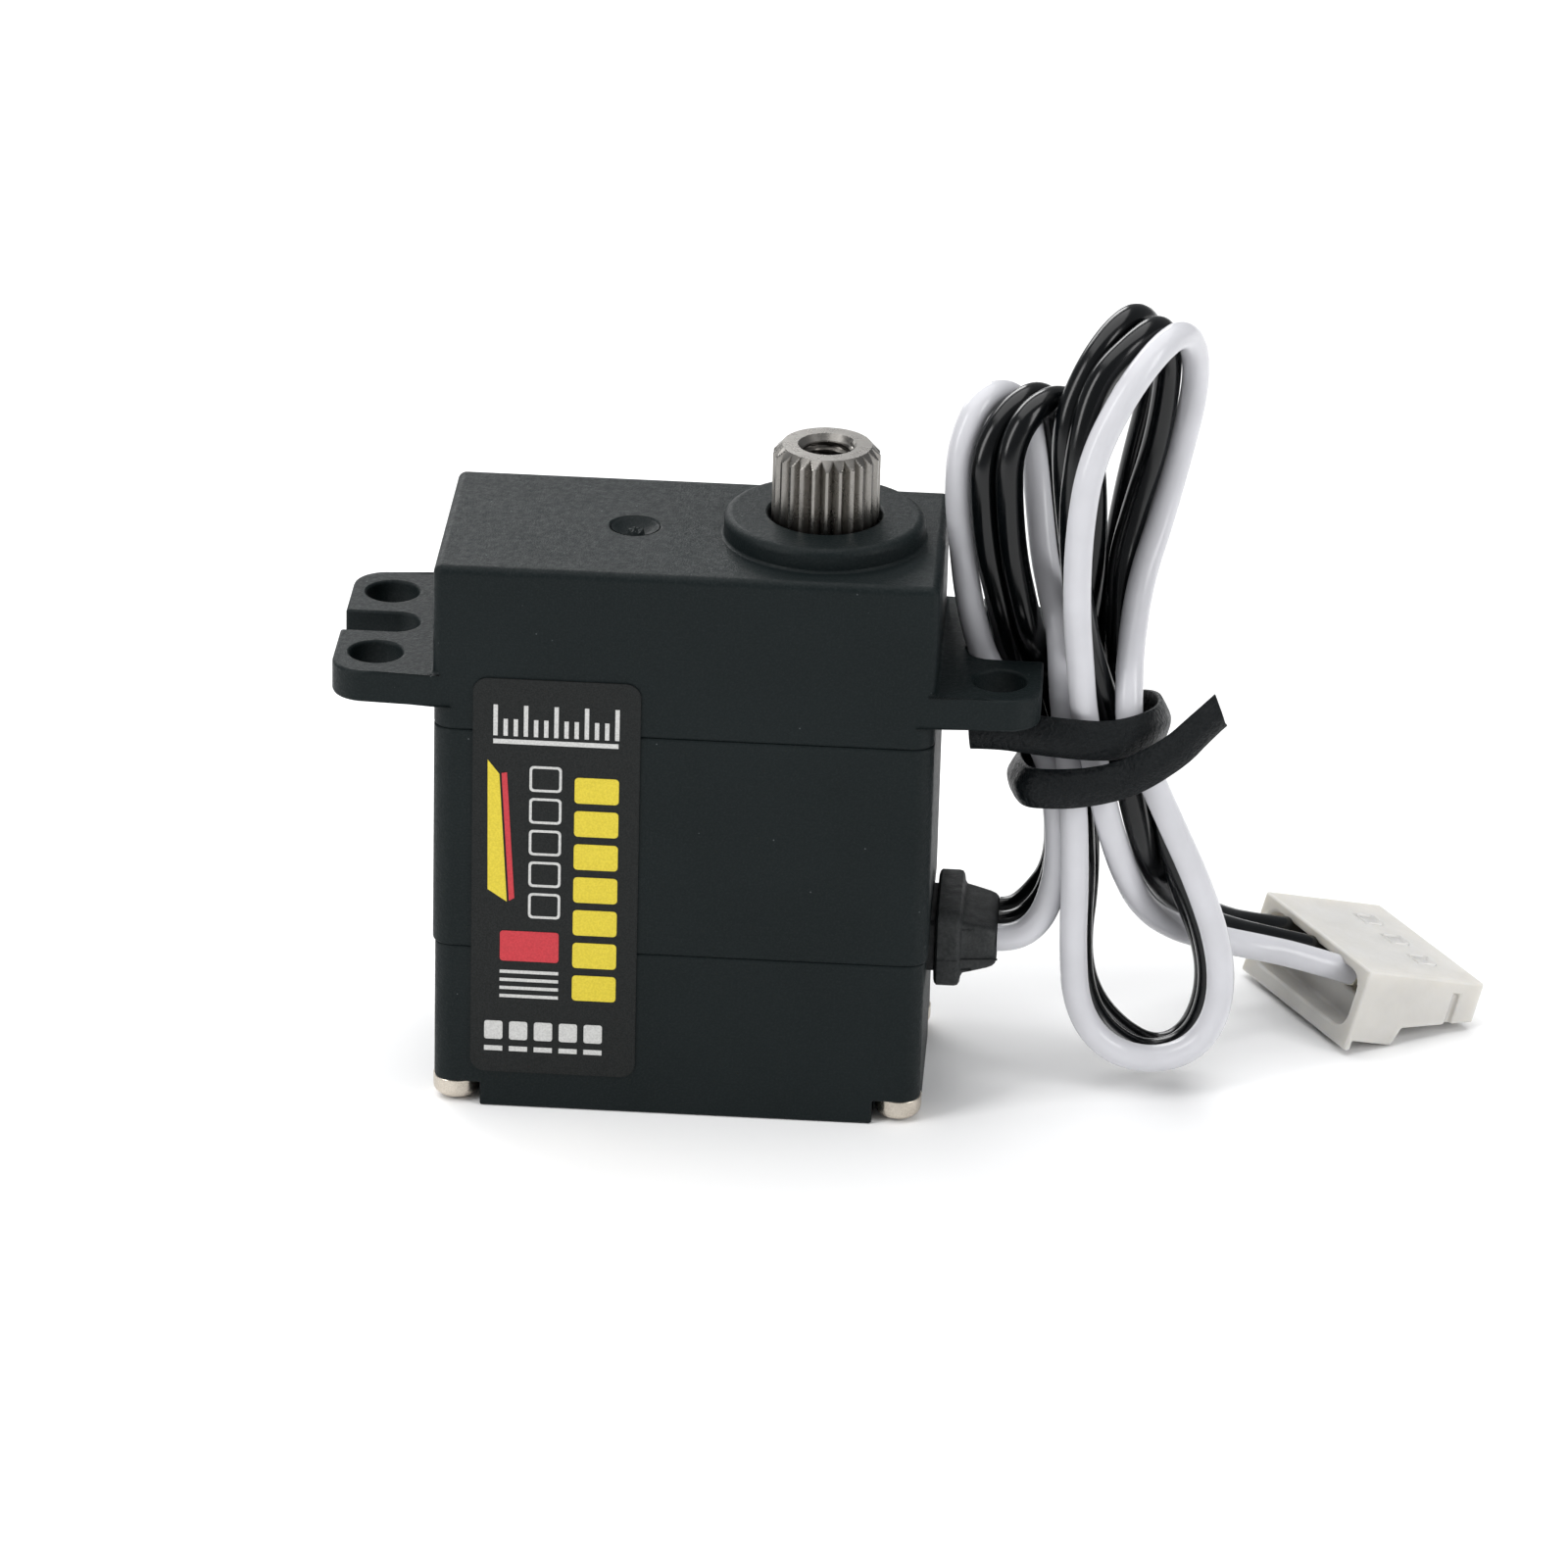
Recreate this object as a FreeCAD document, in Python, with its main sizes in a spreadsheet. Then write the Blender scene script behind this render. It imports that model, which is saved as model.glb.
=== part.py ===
import FreeCAD, Part
import math
import os
from types import SimpleNamespace

import Sketcher

# Micro bus servo with ball bearings, a four-stage gear train and a three-wire lead.
# Millimetres. +X runs along the case towards the output shaft, +Y to the back and +Z up the shaft.
# The origin is the middle of the case's underside.

doc = FreeCAD.newDocument("micro_servo")
V = FreeCAD.Vector
UP = V(0, 0, 1)

# ---------------------------------------------------------------- driving dimensions

DIMENSIONS = {
    # case
    "case_length": 23.2,
    "case_width": 12.0,
    "case_height": 27.4,
    "cover_seam": 8.25,
    "deck_seam": 19.3,
    "wall": 0.8,
    "roof": 1.1,
    "floor": 1.0,
    "deck_thickness": 1.5,
    "edge_radius": 0.4,
    "corner_radius": 1.0,
    "cover_inset": 0.12,
    "post_side": 2.2,
    # mounting ears
    "ear_end": 16.4,
    "ear_top": 22.0,
    "ear_thickness": 1.55,
    "ear_radius": 1.6,
    "ear_hole_x": 14.45,
    "ear_hole_y": 3.6,
    "ear_hole_radius": 1.25,
    "slot_width": 2.2,
    "slot_root": 12.8,
    # boss round the output shaft and the gate dimple
    "boss_radius": 4.68,
    "boss_height": 1.1,
    "boss_mouth_radius": 2.65,
    "dimple_x": -2.8,
    "dimple_radius": 1.15,
    "dimple_depth": 0.45,
    # case screws
    "screw_x": 10.45,
    "screw_y": 4.85,
    "screw_radius": 0.8,
    "screw_head_radius": 1.1,
    "screw_head_base": 0.12,
    "screw_head_height": 1.05,
    "screw_length": 21.0,
    "screw_play": 0.03,
    # gear train axes and levels
    "output_x": 6.0,
    "pin_x": 0,
    "motor_x": -5.4,
    "pin_radius": 0.6,
    "running_play": 0.03,
    "first_level": 19.5,
    "second_level": 20.7,
    "third_level": 21.8,
    "output_level": 23.0,
    "wheel_thickness": 0.8,
    "output_gear_thickness": 1.9,
    # output shaft
    "shaft_top": 31.9,
    "spline_base": 27.9,
    "spline_crest": 2.49,
    "spline_root": 2.27,
    "spline_teeth": 25,
    "journal_radius": 2.5,
    "collar_radius": 2.9,
    "gear_seat_radius": 1.8,
    "spindle_radius": 1.0,
    "spindle_end": 14.2,
    "horn_thread_radius": 1.075,
    "horn_thread_depth": 5.0,
    # ball bearings
    "upper_bearing_base": 25.2,
    "upper_bearing_height": 2.5,
    "upper_bearing_radius": 4.0,
    "lower_bearing_base": 17.4,
    "lower_bearing_height": 1.6,
    "lower_bearing_radius": 2.5,
    "upper_pitch_radius": 3.25,
    "lower_pitch_radius": 1.75,
    "ball_radius": 0.38,
    "ball_gap": 0.02,
    # motor
    "motor_radius": 4.85,
    "motor_base": 3.6,
    "motor_cap_height": 2.0,
    "motor_top": 17.75,
    "motor_nose_radius": 1.5,
    "motor_nose_height": 0.65,
    "motor_skin": 0.5,
    "motor_shaft_radius": 0.5,
    "motor_shaft_base": 3.9,
    "motor_shaft_top": 20.7,
    "armature_radius": 2.9,
    "armature_base": 9.0,
    "armature_height": 6.5,
    "commutator_radius": 1.2,
    "magnet_inner_radius": 3.1,
    "spacer_radius": 1.3,
    # electronics
    "board_base": 1.9,
    "board_thickness": 0.8,
    "encoder_board_base": 11.6,
    "encoder_board_thickness": 0.6,
    "encoder_magnet_radius": 2.0,
    "encoder_magnet_height": 1.5,
    # cord
    "gland_z": 7.6,
    "gland_neck_depth": 4.6,
    "gland_neck_height": 2.6,
    "gland_flange_depth": 5.4,
    "gland_flange_height": 3.9,
    "gland_end": 14.75,
    "wire_radius": 0.65,
    "wire_pitch": 1.5,
    "tie_width": 2.0,
    "tie_thickness": 0.7,
    "connector_width": 9.9,
    "connector_length": 6.9,
    "connector_height": 3.7,
    "connector_lip_height": 4.2,
    "connector_lip_length": 0.35,
    "connector_nose_height": 2.3,
    "connector_foot_length": 2.63,
    "contact_pitch": 2.5,
    # label on the front
    "label_left": -9.7,
    "label_right": -1.95,
    "label_base": 1.85,
    "label_top": 22.0,
    "label_thickness": 0.08,
    "label_radius": 0.7,
}


class Size:
    """A number that remembers the sheet cells it is worked out from."""

    def __init__(self, value, text):
        self.value = value
        self.text = text

    def __add__(self, other):
        other = sized(other)
        return Size(self.value + other.value, f"({self.text} + {other.text})")

    def __sub__(self, other):
        other = sized(other)
        return Size(self.value - other.value, f"({self.text} - {other.text})")

    def __mul__(self, other):
        other = sized(other)
        return Size(self.value * other.value, f"({self.text} * {other.text})")

    def __truediv__(self, other):
        other = sized(other)
        return Size(self.value / other.value, f"({self.text} / {other.text})")

    def __neg__(self):
        return Size(-self.value, f"(-1 * {self.text})")

    def __radd__(self, other):
        return sized(other) + self

    def __rsub__(self, other):
        return sized(other) - self

    def __rmul__(self, other):
        return sized(other) * self


def sized(value):
    """A Size from a Size or a plain number."""
    return value if isinstance(value, Size) else Size(value, repr(value))


sheet = doc.addObject("Spreadsheet::Sheet", "Sizes")
for row, (alias, value) in enumerate(DIMENSIONS.items(), start=1):
    sheet.set(f"A{row}", alias)
    sheet.set(f"B{row}", str(value))
    sheet.setAlias(f"B{row}", alias)
doc.recompute()
S = SimpleNamespace(**{alias: Size(value, f"Sizes.{alias}") for alias, value in DIMENSIONS.items()})

parts = []


def listed(obj, node):
    """Give a finished sub-part its node name."""
    obj.Label = node
    parts.append(obj)
    return obj


# ---------------------------------------------------------------- sketches, pads and pockets


def new_body(name):
    return doc.addObject("PartDesign::Body", "Body_" + name)


def origin_plane(body, role):
    return next(f for f in body.Origin.OriginFeatures if f.Role == role)


def origin_axis(body):
    return origin_plane(body, "Z_Axis")


def sketch_at(body, name, z):
    """An empty sketch on the body's XY plane, lifted to height z."""
    sketch = body.newObject("Sketcher::SketchObject", name)
    sketch.AttachmentSupport = [(origin_plane(body, "XY_Plane"), "")]
    sketch.MapMode = "FlatFace"
    sketch.setExpression("AttachmentOffset.Base.z", sized(z).text)
    return sketch


def hold_point(sketch, geometry, position, x, y):
    """Fix a sketch point at x, y from the origin, bound to the sheet."""
    for word, axis, value in (("DistanceX", -2, sized(x)), ("DistanceY", -1, sized(y))):
        if abs(value.value) < 1e-9:
            sketch.addConstraint(Sketcher.Constraint("PointOnObject", geometry, position, axis))
            continue
        number = sketch.addConstraint(Sketcher.Constraint(word, -1, 1, geometry, position, value.value))
        sketch.setExpression(f"Constraints[{number}]", value.text)


def draw_polygon(sketch, points):
    """A closed outline through points whose coordinates are sizes."""
    spots = [V(sized(x).value, sized(y).value, 0) for x, y in points]
    first = sketch.GeometryCount
    count = len(points)
    for i in range(count):
        sketch.addGeometry(Part.LineSegment(spots[i], spots[(i + 1) % count]))
    for i in range(count):
        sketch.addConstraint(Sketcher.Constraint("Coincident", first + i, 2, first + (i + 1) % count, 1))
        hold_point(sketch, first + i, 1, *points[i])


def draw_circle(sketch, x, y, radius):
    centre = V(sized(x).value, sized(y).value, 0)
    index = sketch.addGeometry(Part.Circle(centre, UP, sized(radius).value))
    number = sketch.addConstraint(Sketcher.Constraint("Radius", index, sized(radius).value))
    sketch.setExpression(f"Constraints[{number}]", sized(radius).text)
    hold_point(sketch, index, 3, x, y)


def rectangle(x_low, x_high, y_low, y_high):
    return [(x_low, y_low), (x_high, y_low), (x_high, y_high), (x_low, y_high)]


def grow(body, name, z_low, z_high, polygons=(), circles=(), cut=False):
    """Pad or pocket outlines between two heights."""
    sketch = sketch_at(body, name + "_sketch", z_low)
    for points in polygons:
        draw_polygon(sketch, points)
    for circle in circles:
        draw_circle(sketch, *circle)
    before = body.Shape.Volume if cut else 0
    feature = body.newObject("PartDesign::Pocket" if cut else "PartDesign::Pad", name)
    feature.Profile = sketch
    feature.setExpression("Length", (sized(z_high) - z_low).text)
    if cut:
        feature.Reversed = True
    sketch.Visibility = False
    doc.recompute()
    if cut and not body.Shape.Volume < before:
        raise RuntimeError(name + " cuts nothing")
    return feature


def round_edges(body, name, radius, wanted):
    """Fillet the edges of the body's tip that a test picks by their middle point and direction."""
    tip = body.Tip
    names = []
    for number, edge in enumerate(tip.Shape.Edges, start=1):
        if edge.Degenerated:
            continue
        middle = edge.valueAt((edge.FirstParameter + edge.LastParameter) / 2)
        if wanted(edge, middle):
            names.append(f"Edge{number}")
    fillet = body.newObject("PartDesign::Fillet", name)
    fillet.Base = (tip, names)
    fillet.setExpression("Radius", sized(radius).text)
    doc.recompute()
    return fillet


def is_upright(edge):
    """True for an edge that runs straight up or down."""
    low, high = edge.Vertexes[0].Point, edge.Vertexes[-1].Point
    return math.hypot(low.x - high.x, low.y - high.y) < 0.001 < abs(low.z - high.z)


def revolve(body, name, outline):
    """Turn an outline of radius and height pairs about the Z axis."""
    sketch = body.newObject("Sketcher::SketchObject", name + "_sketch")
    sketch.AttachmentSupport = [(origin_plane(body, "XZ_Plane"), "")]
    sketch.MapMode = "FlatFace"
    draw_polygon(sketch, outline)
    feature = body.newObject("PartDesign::Revolution", name)
    feature.Profile = sketch
    feature.ReferenceAxis = (sketch, ["V_Axis"])
    feature.Angle = 360
    sketch.Visibility = False
    doc.recompute()
    return feature


def turned_part(node, outline, x=0, y=0):
    """A turned piece with its axis at x, y."""
    body = new_body(node)
    revolve(body, node + "_turning", outline)
    body.setExpression("Placement.Base.x", sized(x).text)
    body.setExpression("Placement.Base.y", sized(y).text)
    return listed(body, node)


def tube_outline(inner, outer, z_low, z_high):
    return [(inner, z_low), (outer, z_low), (outer, z_high), (inner, z_high)]


# ---------------------------------------------------------------- case shells

HALF_LENGTH = S.case_length / 2
HALF_WIDTH = S.case_width / 2
INNER_X = HALF_LENGTH - S.wall
INNER_Y = HALF_WIDTH - S.wall
SIDES = (-1, 1)
CORNERS = [(sx, sy) for sx in SIDES for sy in SIDES]


def cavity_outline(x_half=INNER_X, y_half=INNER_Y):
    """The inner space of the case: a rectangle that leaves a post in each corner."""
    x_post = HALF_LENGTH - S.post_side
    y_post = HALF_WIDTH - S.post_side
    return [
        (-x_half, -y_post), (-x_post, -y_post), (-x_post, -y_half), (x_post, -y_half),
        (x_post, -y_post), (x_half, -y_post), (x_half, y_post), (x_post, y_post),
        (x_post, y_half), (-x_post, y_half), (-x_post, y_post), (-x_half, y_post),
    ]


def screw_holes(radius):
    return [(sx * S.screw_x, sy * S.screw_y, radius) for sx, sy in CORNERS]


def round_corners(body, name, radius, z_low, z_high):
    """Round the upright corners of the tip between two heights."""
    low, high = sized(z_low).value, sized(z_high).value

    def wanted(edge, middle):
        inside = low < middle.z < high
        outer = abs(middle.x) > HALF_LENGTH.value - 0.3 and abs(middle.y) > HALF_WIDTH.value - 0.3
        return is_upright(edge) and inside and outer

    return round_edges(body, name, radius, wanted)


def make_top_case():
    body = new_body("top_case")
    seam = S.deck_seam
    top = S.case_height
    ear_base = S.ear_top - S.ear_thickness
    block = rectangle(-HALF_LENGTH, HALF_LENGTH, -HALF_WIDTH, HALF_WIDTH)
    grow(body, "skirt", seam, ear_base, [block])
    round_corners(body, "skirt_corners", S.corner_radius, seam, ear_base)
    grow(body, "gear_housing", ear_base, top, [block])
    round_corners(body, "housing_corners", S.edge_radius, ear_base, top)
    round_edges(body, "top_edge", S.edge_radius, lambda edge, middle: middle.z > top.value - 0.01)

    # Two ears, each with round outer corners
    grow(body, "ears", ear_base, S.ear_top, [rectangle(-S.ear_end, S.ear_end, -HALF_WIDTH, HALF_WIDTH)])

    def ear_corner(edge, middle):
        return is_upright(edge) and abs(middle.x) > S.ear_end.value - 0.01

    round_edges(body, "ear_corners", S.ear_radius, ear_corner)

    # Boss round the output shaft, and the bearing's housing under the roof
    grow(body, "boss", top - 0.2, top + S.boss_height, circles=[(S.output_x, 0, S.boss_radius)])

    def boss_edge(edge, middle):
        return middle.z > top.value + S.boss_height.value - 0.01

    round_edges(body, "boss_rounding", S.edge_radius, boss_edge)
    grow(body, "gear_space", seam, top - S.roof, [cavity_outline()], cut=True)
    grow(body, "bearing_housing", S.upper_bearing_base, top - S.roof + 0.1,
         circles=[(S.output_x, 0, S.boss_radius)])
    bearing_top = S.upper_bearing_base + S.upper_bearing_height
    grow(body, "bearing_seat", S.upper_bearing_base, bearing_top,
         circles=[(S.output_x, 0, S.upper_bearing_radius)], cut=True)
    grow(body, "shaft_mouth", bearing_top - 0.1, top + S.boss_height,
         circles=[(S.output_x, 0, S.boss_mouth_radius)], cut=True)
    grow(body, "pin_seat", top - S.roof - 0.1, top - 0.4,
         circles=[(S.pin_x, 0, S.pin_radius)], cut=True)
    grow(body, "screw_seats", seam, seam + 4,
         circles=screw_holes(S.screw_radius + S.screw_play), cut=True)

    # Screw holes and the open slot in each ear
    holes = [(sx * S.ear_hole_x, sy * S.ear_hole_y, S.ear_hole_radius) for sx, sy in CORNERS]
    grow(body, "ear_holes", ear_base - 0.1, S.ear_top + 0.1, circles=holes, cut=True)
    half_slot = S.slot_width / 2
    root = S.slot_root + half_slot
    for side, word in ((1, "right"), (-1, "left")):
        mouth = [(side * root, -half_slot), (side * (S.ear_end + 1), -half_slot),
                 (side * (S.ear_end + 1), half_slot), (side * root, half_slot)]
        grow(body, word + "_slot", ear_base - 0.1, S.ear_top + 0.1, [mouth], cut=True)
        grow(body, word + "_slot_root", ear_base - 0.1, S.ear_top + 0.1,
             circles=[(side * root, 0, half_slot)], cut=True)
    grow(body, "gate_dimple", top - S.dimple_depth, top + 0.1,
         circles=[(S.dimple_x, 0, S.dimple_radius)], cut=True)
    return listed(body, "top_case")


def make_middle_case():
    body = new_body("middle_case")
    low = S.cover_seam
    high = S.deck_seam
    deck = high - S.deck_thickness
    grow(body, "tube", low, high, [rectangle(-HALF_LENGTH, HALF_LENGTH, -HALF_WIDTH, HALF_WIDTH)])
    round_corners(body, "tube_corners", S.corner_radius, low, high)
    grow(body, "motor_bay", low, deck, [cavity_outline()], cut=True)
    # Recess above the deck that the first wheel turns in
    grow(body, "deck_recess", high - 0.2, high, [cavity_outline()], cut=True)
    grow(body, "motor_nose_hole", deck, high, circles=[(S.motor_x, 0, 1.6)], cut=True)
    grow(body, "lower_bearing_housing", S.lower_bearing_base - 0.5, deck + 0.1,
         circles=[(S.output_x, 0, S.lower_bearing_radius + 0.9)])
    bearing_top = S.lower_bearing_base + S.lower_bearing_height
    grow(body, "lower_bearing_seat", S.lower_bearing_base, bearing_top + 0.3,
         circles=[(S.output_x, 0, S.lower_bearing_radius)], cut=True)
    grow(body, "spindle_hole", S.lower_bearing_base - 0.6, bearing_top,
         circles=[(S.output_x, 0, S.lower_bearing_radius - 0.4)], cut=True)
    grow(body, "pin_socket", deck + 0.3, high, circles=[(S.pin_x, 0, S.pin_radius)], cut=True)
    grow(body, "screw_ways", low, high, circles=screw_holes(S.screw_radius + S.screw_play), cut=True)
    # Upper half of the wire outlet, and ledges that carry the encoder board
    outlet = rectangle(INNER_X - 0.1, HALF_LENGTH + 0.1, -S.gland_neck_depth / 2, S.gland_neck_depth / 2)
    grow(body, "wire_outlet", low, S.gland_z + S.gland_neck_height / 2, [outlet], cut=True)
    ledge_top = S.encoder_board_base
    ledges = [rectangle(2.2, 9.0, sy * (INNER_Y - 0.9), sy * (INNER_Y + 0.1)) for sy in SIDES]
    grow(body, "board_ledges", ledge_top - 1, ledge_top, ledges)
    return listed(body, "middle_case")


def make_bottom_cover():
    body = new_body("bottom_cover")
    half = HALF_LENGTH - S.cover_inset
    high = S.cover_seam
    grow(body, "cup", 0, high, [rectangle(-half, half, -HALF_WIDTH, HALF_WIDTH)])
    round_corners(body, "cup_corners", S.corner_radius - 0.1, 0, high)
    grow(body, "board_bay", S.floor, high, [cavity_outline()], cut=True)
    head_top = S.screw_head_base + S.screw_head_height
    grow(body, "screw_ways", head_top - 0.1, high,
         circles=screw_holes(S.screw_radius + S.screw_play), cut=True)
    # Each screw head sits in a corner notch that is open to both sides
    reach = S.screw_head_radius + 0.1
    for number, (sx, sy) in enumerate(CORNERS):
        notch = rectangle(sx * (S.screw_x - reach), sx * (HALF_LENGTH + 1),
                          sy * (S.screw_y - reach), sy * (HALF_WIDTH + 1))
        grow(body, f"head_notch_{number}", 0, head_top, [notch], cut=True)
    outlet = rectangle(INNER_X - 0.1, HALF_LENGTH + 0.1, -S.gland_neck_depth / 2, S.gland_neck_depth / 2)
    grow(body, "wire_outlet", S.gland_z - S.gland_neck_height / 2, high, [outlet], cut=True)
    ledges = [rectangle(-7.0, 7.0, sy * (INNER_Y - 0.6), sy * (INNER_Y + 0.1)) for sy in SIDES]
    grow(body, "board_ledges", S.floor - 0.1, S.board_base, ledges)
    return listed(body, "bottom_cover")


def make_case_screws():
    """Four long pan-head screws with a cross recess, driven from below."""
    seat = S.screw_head_base + S.screw_head_height
    recess_half = 0.16
    heads = []
    for number, (sx, sy) in enumerate(CORNERS):
        x = sx * S.screw_x
        y = sy * S.screw_y
        head = doc.addObject("Part::Cylinder", f"screw_head_{number}")
        head.setExpression("Radius", S.screw_head_radius.text)
        head.setExpression("Height", S.screw_head_height.text)
        head.setExpression("Placement.Base.z", S.screw_head_base.text)
        crown = doc.addObject("Part::Fillet", f"screw_crown_{number}")
        doc.recompute()
        lower = [i for i, edge in enumerate(head.Shape.Edges, start=1)
                 if edge.Curve.TypeId == "Part::GeomCircle" and edge.CenterOfMass.z < 0.5]
        crown.Base = head
        crown.Edges = [(i, 0.5, 0.5) for i in lower]
        shank = doc.addObject("Part::Cylinder", f"screw_shank_{number}")
        shank.setExpression("Radius", S.screw_radius.text)
        shank.setExpression("Height", S.screw_length.text)
        shank.setExpression("Placement.Base.z", seat.text)
        blank = doc.addObject("Part::Fuse", f"screw_blank_{number}")
        blank.Base = crown
        blank.Tool = shank
        slots = []
        for word, length, width in (("x", 1.3, 2 * recess_half), ("y", 2 * recess_half, 1.3)):
            slot = doc.addObject("Part::Box", f"screw_recess_{word}_{number}")
            slot.Length = length
            slot.Width = width
            slot.Height = 0.7
            slot.Placement.Base = V(-length / 2, -width / 2, 0)
            slots.append(slot)
        cross = doc.addObject("Part::Fuse", f"screw_cross_{number}")
        cross.Base, cross.Tool = slots
        screw = doc.addObject("Part::Cut", f"screw_{number}")
        screw.Base = blank
        screw.Tool = cross
        screw.setExpression("Placement.Base.x", x.text)
        screw.setExpression("Placement.Base.y", y.text)
        heads.append(screw)
    group = doc.addObject("Part::Compound", "screw_group")
    group.Links = heads
    return listed(group, "case_screws")


# ---------------------------------------------------------------- bearings


def make_bearing(word, base, height, bore, rim, pitch_radius, count):
    """A ball bearing on the output axis: two rings and a set of balls."""
    gap = S.ball_radius + S.ball_gap
    turned_part(word + "_bearing_inner_ring",
                tube_outline(bore, pitch_radius - gap, base, base + height), S.output_x)
    turned_part(word + "_bearing_outer_ring",
                tube_outline(pitch_radius + gap, rim, base, base + height), S.output_x)
    balls = []
    for number in range(count):
        angle = 2 * math.pi * number / count
        ball = doc.addObject("Part::Sphere", f"{word}_ball_{number}")
        ball.setExpression("Radius", S.ball_radius.text)
        ball.setExpression("Placement.Base.x", (S.output_x + pitch_radius * math.cos(angle)).text)
        ball.setExpression("Placement.Base.y", (pitch_radius * math.sin(angle)).text)
        ball.setExpression("Placement.Base.z", (base + height / 2).text)
        balls.append(ball)
    group = doc.addObject("Part::Compound", word + "_ball_group")
    group.Links = balls
    listed(group, word + "_bearing_balls")


# ---------------------------------------------------------------- gears

PRESSURE_ANGLE = math.radians(20)
BACKLASH = 0.03
FLANK_STEPS = 4


def gear_wire(module, teeth, tooth_at, z):
    """The outline of an involute gear, with one tooth centred on the angle tooth_at."""
    pitch = module * teeth / 2
    base = pitch * math.cos(PRESSURE_ANGLE)
    tip = pitch + module
    root = pitch - 1.25 * module
    half_tooth = math.pi / (2 * teeth) - BACKLASH / (2 * pitch)
    start = max(base, root)

    def involute(radius):
        angle = math.acos(min(1.0, base / radius))
        return math.tan(angle) - angle

    def half_angle(radius):
        return half_tooth + involute(pitch) - involute(radius)

    def spot(radius, angle):
        return V(radius * math.cos(angle), radius * math.sin(angle), z)

    edges = []
    for tooth in range(teeth):
        middle = tooth_at + 2 * math.pi * tooth / teeth
        radii = [start + (tip - start) * step / FLANK_STEPS for step in range(FLANK_STEPS + 1)]
        rising = [spot(r, middle - half_angle(r)) for r in radii]
        falling = [spot(r, middle + half_angle(r)) for r in reversed(radii)]
        points = [spot(root, middle - half_angle(start))] if root < start else []
        points += rising + falling
        if root < start:
            points.append(spot(root, middle + half_angle(start)))
        edges += [Part.makeLine(a, b) for a, b in zip(points, points[1:])]
        gap_end = middle + 2 * math.pi / teeth - half_angle(start)
        gap_middle = middle + math.pi / teeth
        lowest = root if root < start else start
        arc = Part.Arc(points[-1], spot(lowest, gap_middle), spot(lowest, gap_end))
        edges.append(arc.toShape())
    return Part.Wire(Part.__sortEdges__(edges))


def gear_solid(module, teeth, tooth_at, z, thickness):
    face = Part.Face(gear_wire(module, teeth, tooth_at, z))
    return face.extrude(V(0, 0, thickness))


def gear_feature(node, shape, x):
    feature = doc.addObject("Part::Feature", node + "_gear")
    feature.Shape = shape
    feature.Placement = FreeCAD.Placement(V(x, 0, 0), FreeCAD.Rotation())
    return listed(feature, node)


FIRST_MODULE = 0.2
MIDDLE_MODULE = 0.25
OUTPUT_MODULE = 0.3
MOTOR_TEETH = 10
FIRST_WHEEL, FIRST_PINION = 44, 12
SECOND_WHEEL, SECOND_PINION = 36, 14
THIRD_WHEEL, THIRD_PINION = 34, 12
OUTPUT_TEETH = 28


def facing(teeth, direction):
    """The tooth angle that puts a gap, not a tooth, on the given direction."""
    return direction + math.pi / teeth


def compound_gear(node, x, wheel, pinion, level, pinion_top, bore):
    """A wheel with a pinion on top of it, free on its axle."""
    wheel_shape = gear_solid(*wheel, level, S.wheel_thickness.value)
    pinion_base = level + S.wheel_thickness.value
    pinion_shape = gear_solid(*pinion, pinion_base - 0.05, pinion_top - pinion_base + 0.05)
    bore_shape = Part.makeCylinder(bore, 20, V(0, 0, level - 1))
    gear_feature(node, wheel_shape.fuse(pinion_shape).cut(bore_shape).removeSplitter(), x)


def make_gears():
    thick = S.wheel_thickness.value
    level_1, level_2 = S.first_level.value, S.second_level.value
    level_3, level_4 = S.third_level.value, S.output_level.value
    motor_x, pin_x, output_x = S.motor_x.value, 0, S.output_x.value
    play = S.running_play.value

    pinion = gear_solid(FIRST_MODULE, MOTOR_TEETH, 0, level_1 - 0.1, thick + 0.4)
    bore = Part.makeCylinder(S.motor_shaft_radius.value, 5, V(0, 0, level_1 - 1))
    gear_feature("motor_pinion", pinion.cut(bore), motor_x)

    compound_gear("first_gear", pin_x,
                  (FIRST_MODULE, FIRST_WHEEL, facing(FIRST_WHEEL, math.pi)),
                  (MIDDLE_MODULE, FIRST_PINION, 0),
                  level_1, level_2 + thick + 0.1, S.pin_radius.value + play)
    compound_gear("second_gear", output_x,
                  (MIDDLE_MODULE, SECOND_WHEEL, facing(SECOND_WHEEL, math.pi)),
                  (MIDDLE_MODULE, SECOND_PINION, math.pi),
                  level_2, level_3 + thick + 0.2, S.spindle_radius.value + play)
    compound_gear("third_gear", pin_x,
                  (MIDDLE_MODULE, THIRD_WHEEL, facing(THIRD_WHEEL, 0)),
                  (OUTPUT_MODULE, THIRD_PINION, 0),
                  level_3, level_4 + S.output_gear_thickness.value, S.pin_radius.value + play)

    output = gear_solid(OUTPUT_MODULE, OUTPUT_TEETH, facing(OUTPUT_TEETH, math.pi),
                        level_4, S.output_gear_thickness.value)
    seat = Part.makeCylinder(S.gear_seat_radius.value, 5, V(0, 0, level_4 - 1))
    gear_feature("output_gear", output.cut(seat), output_x)


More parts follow.
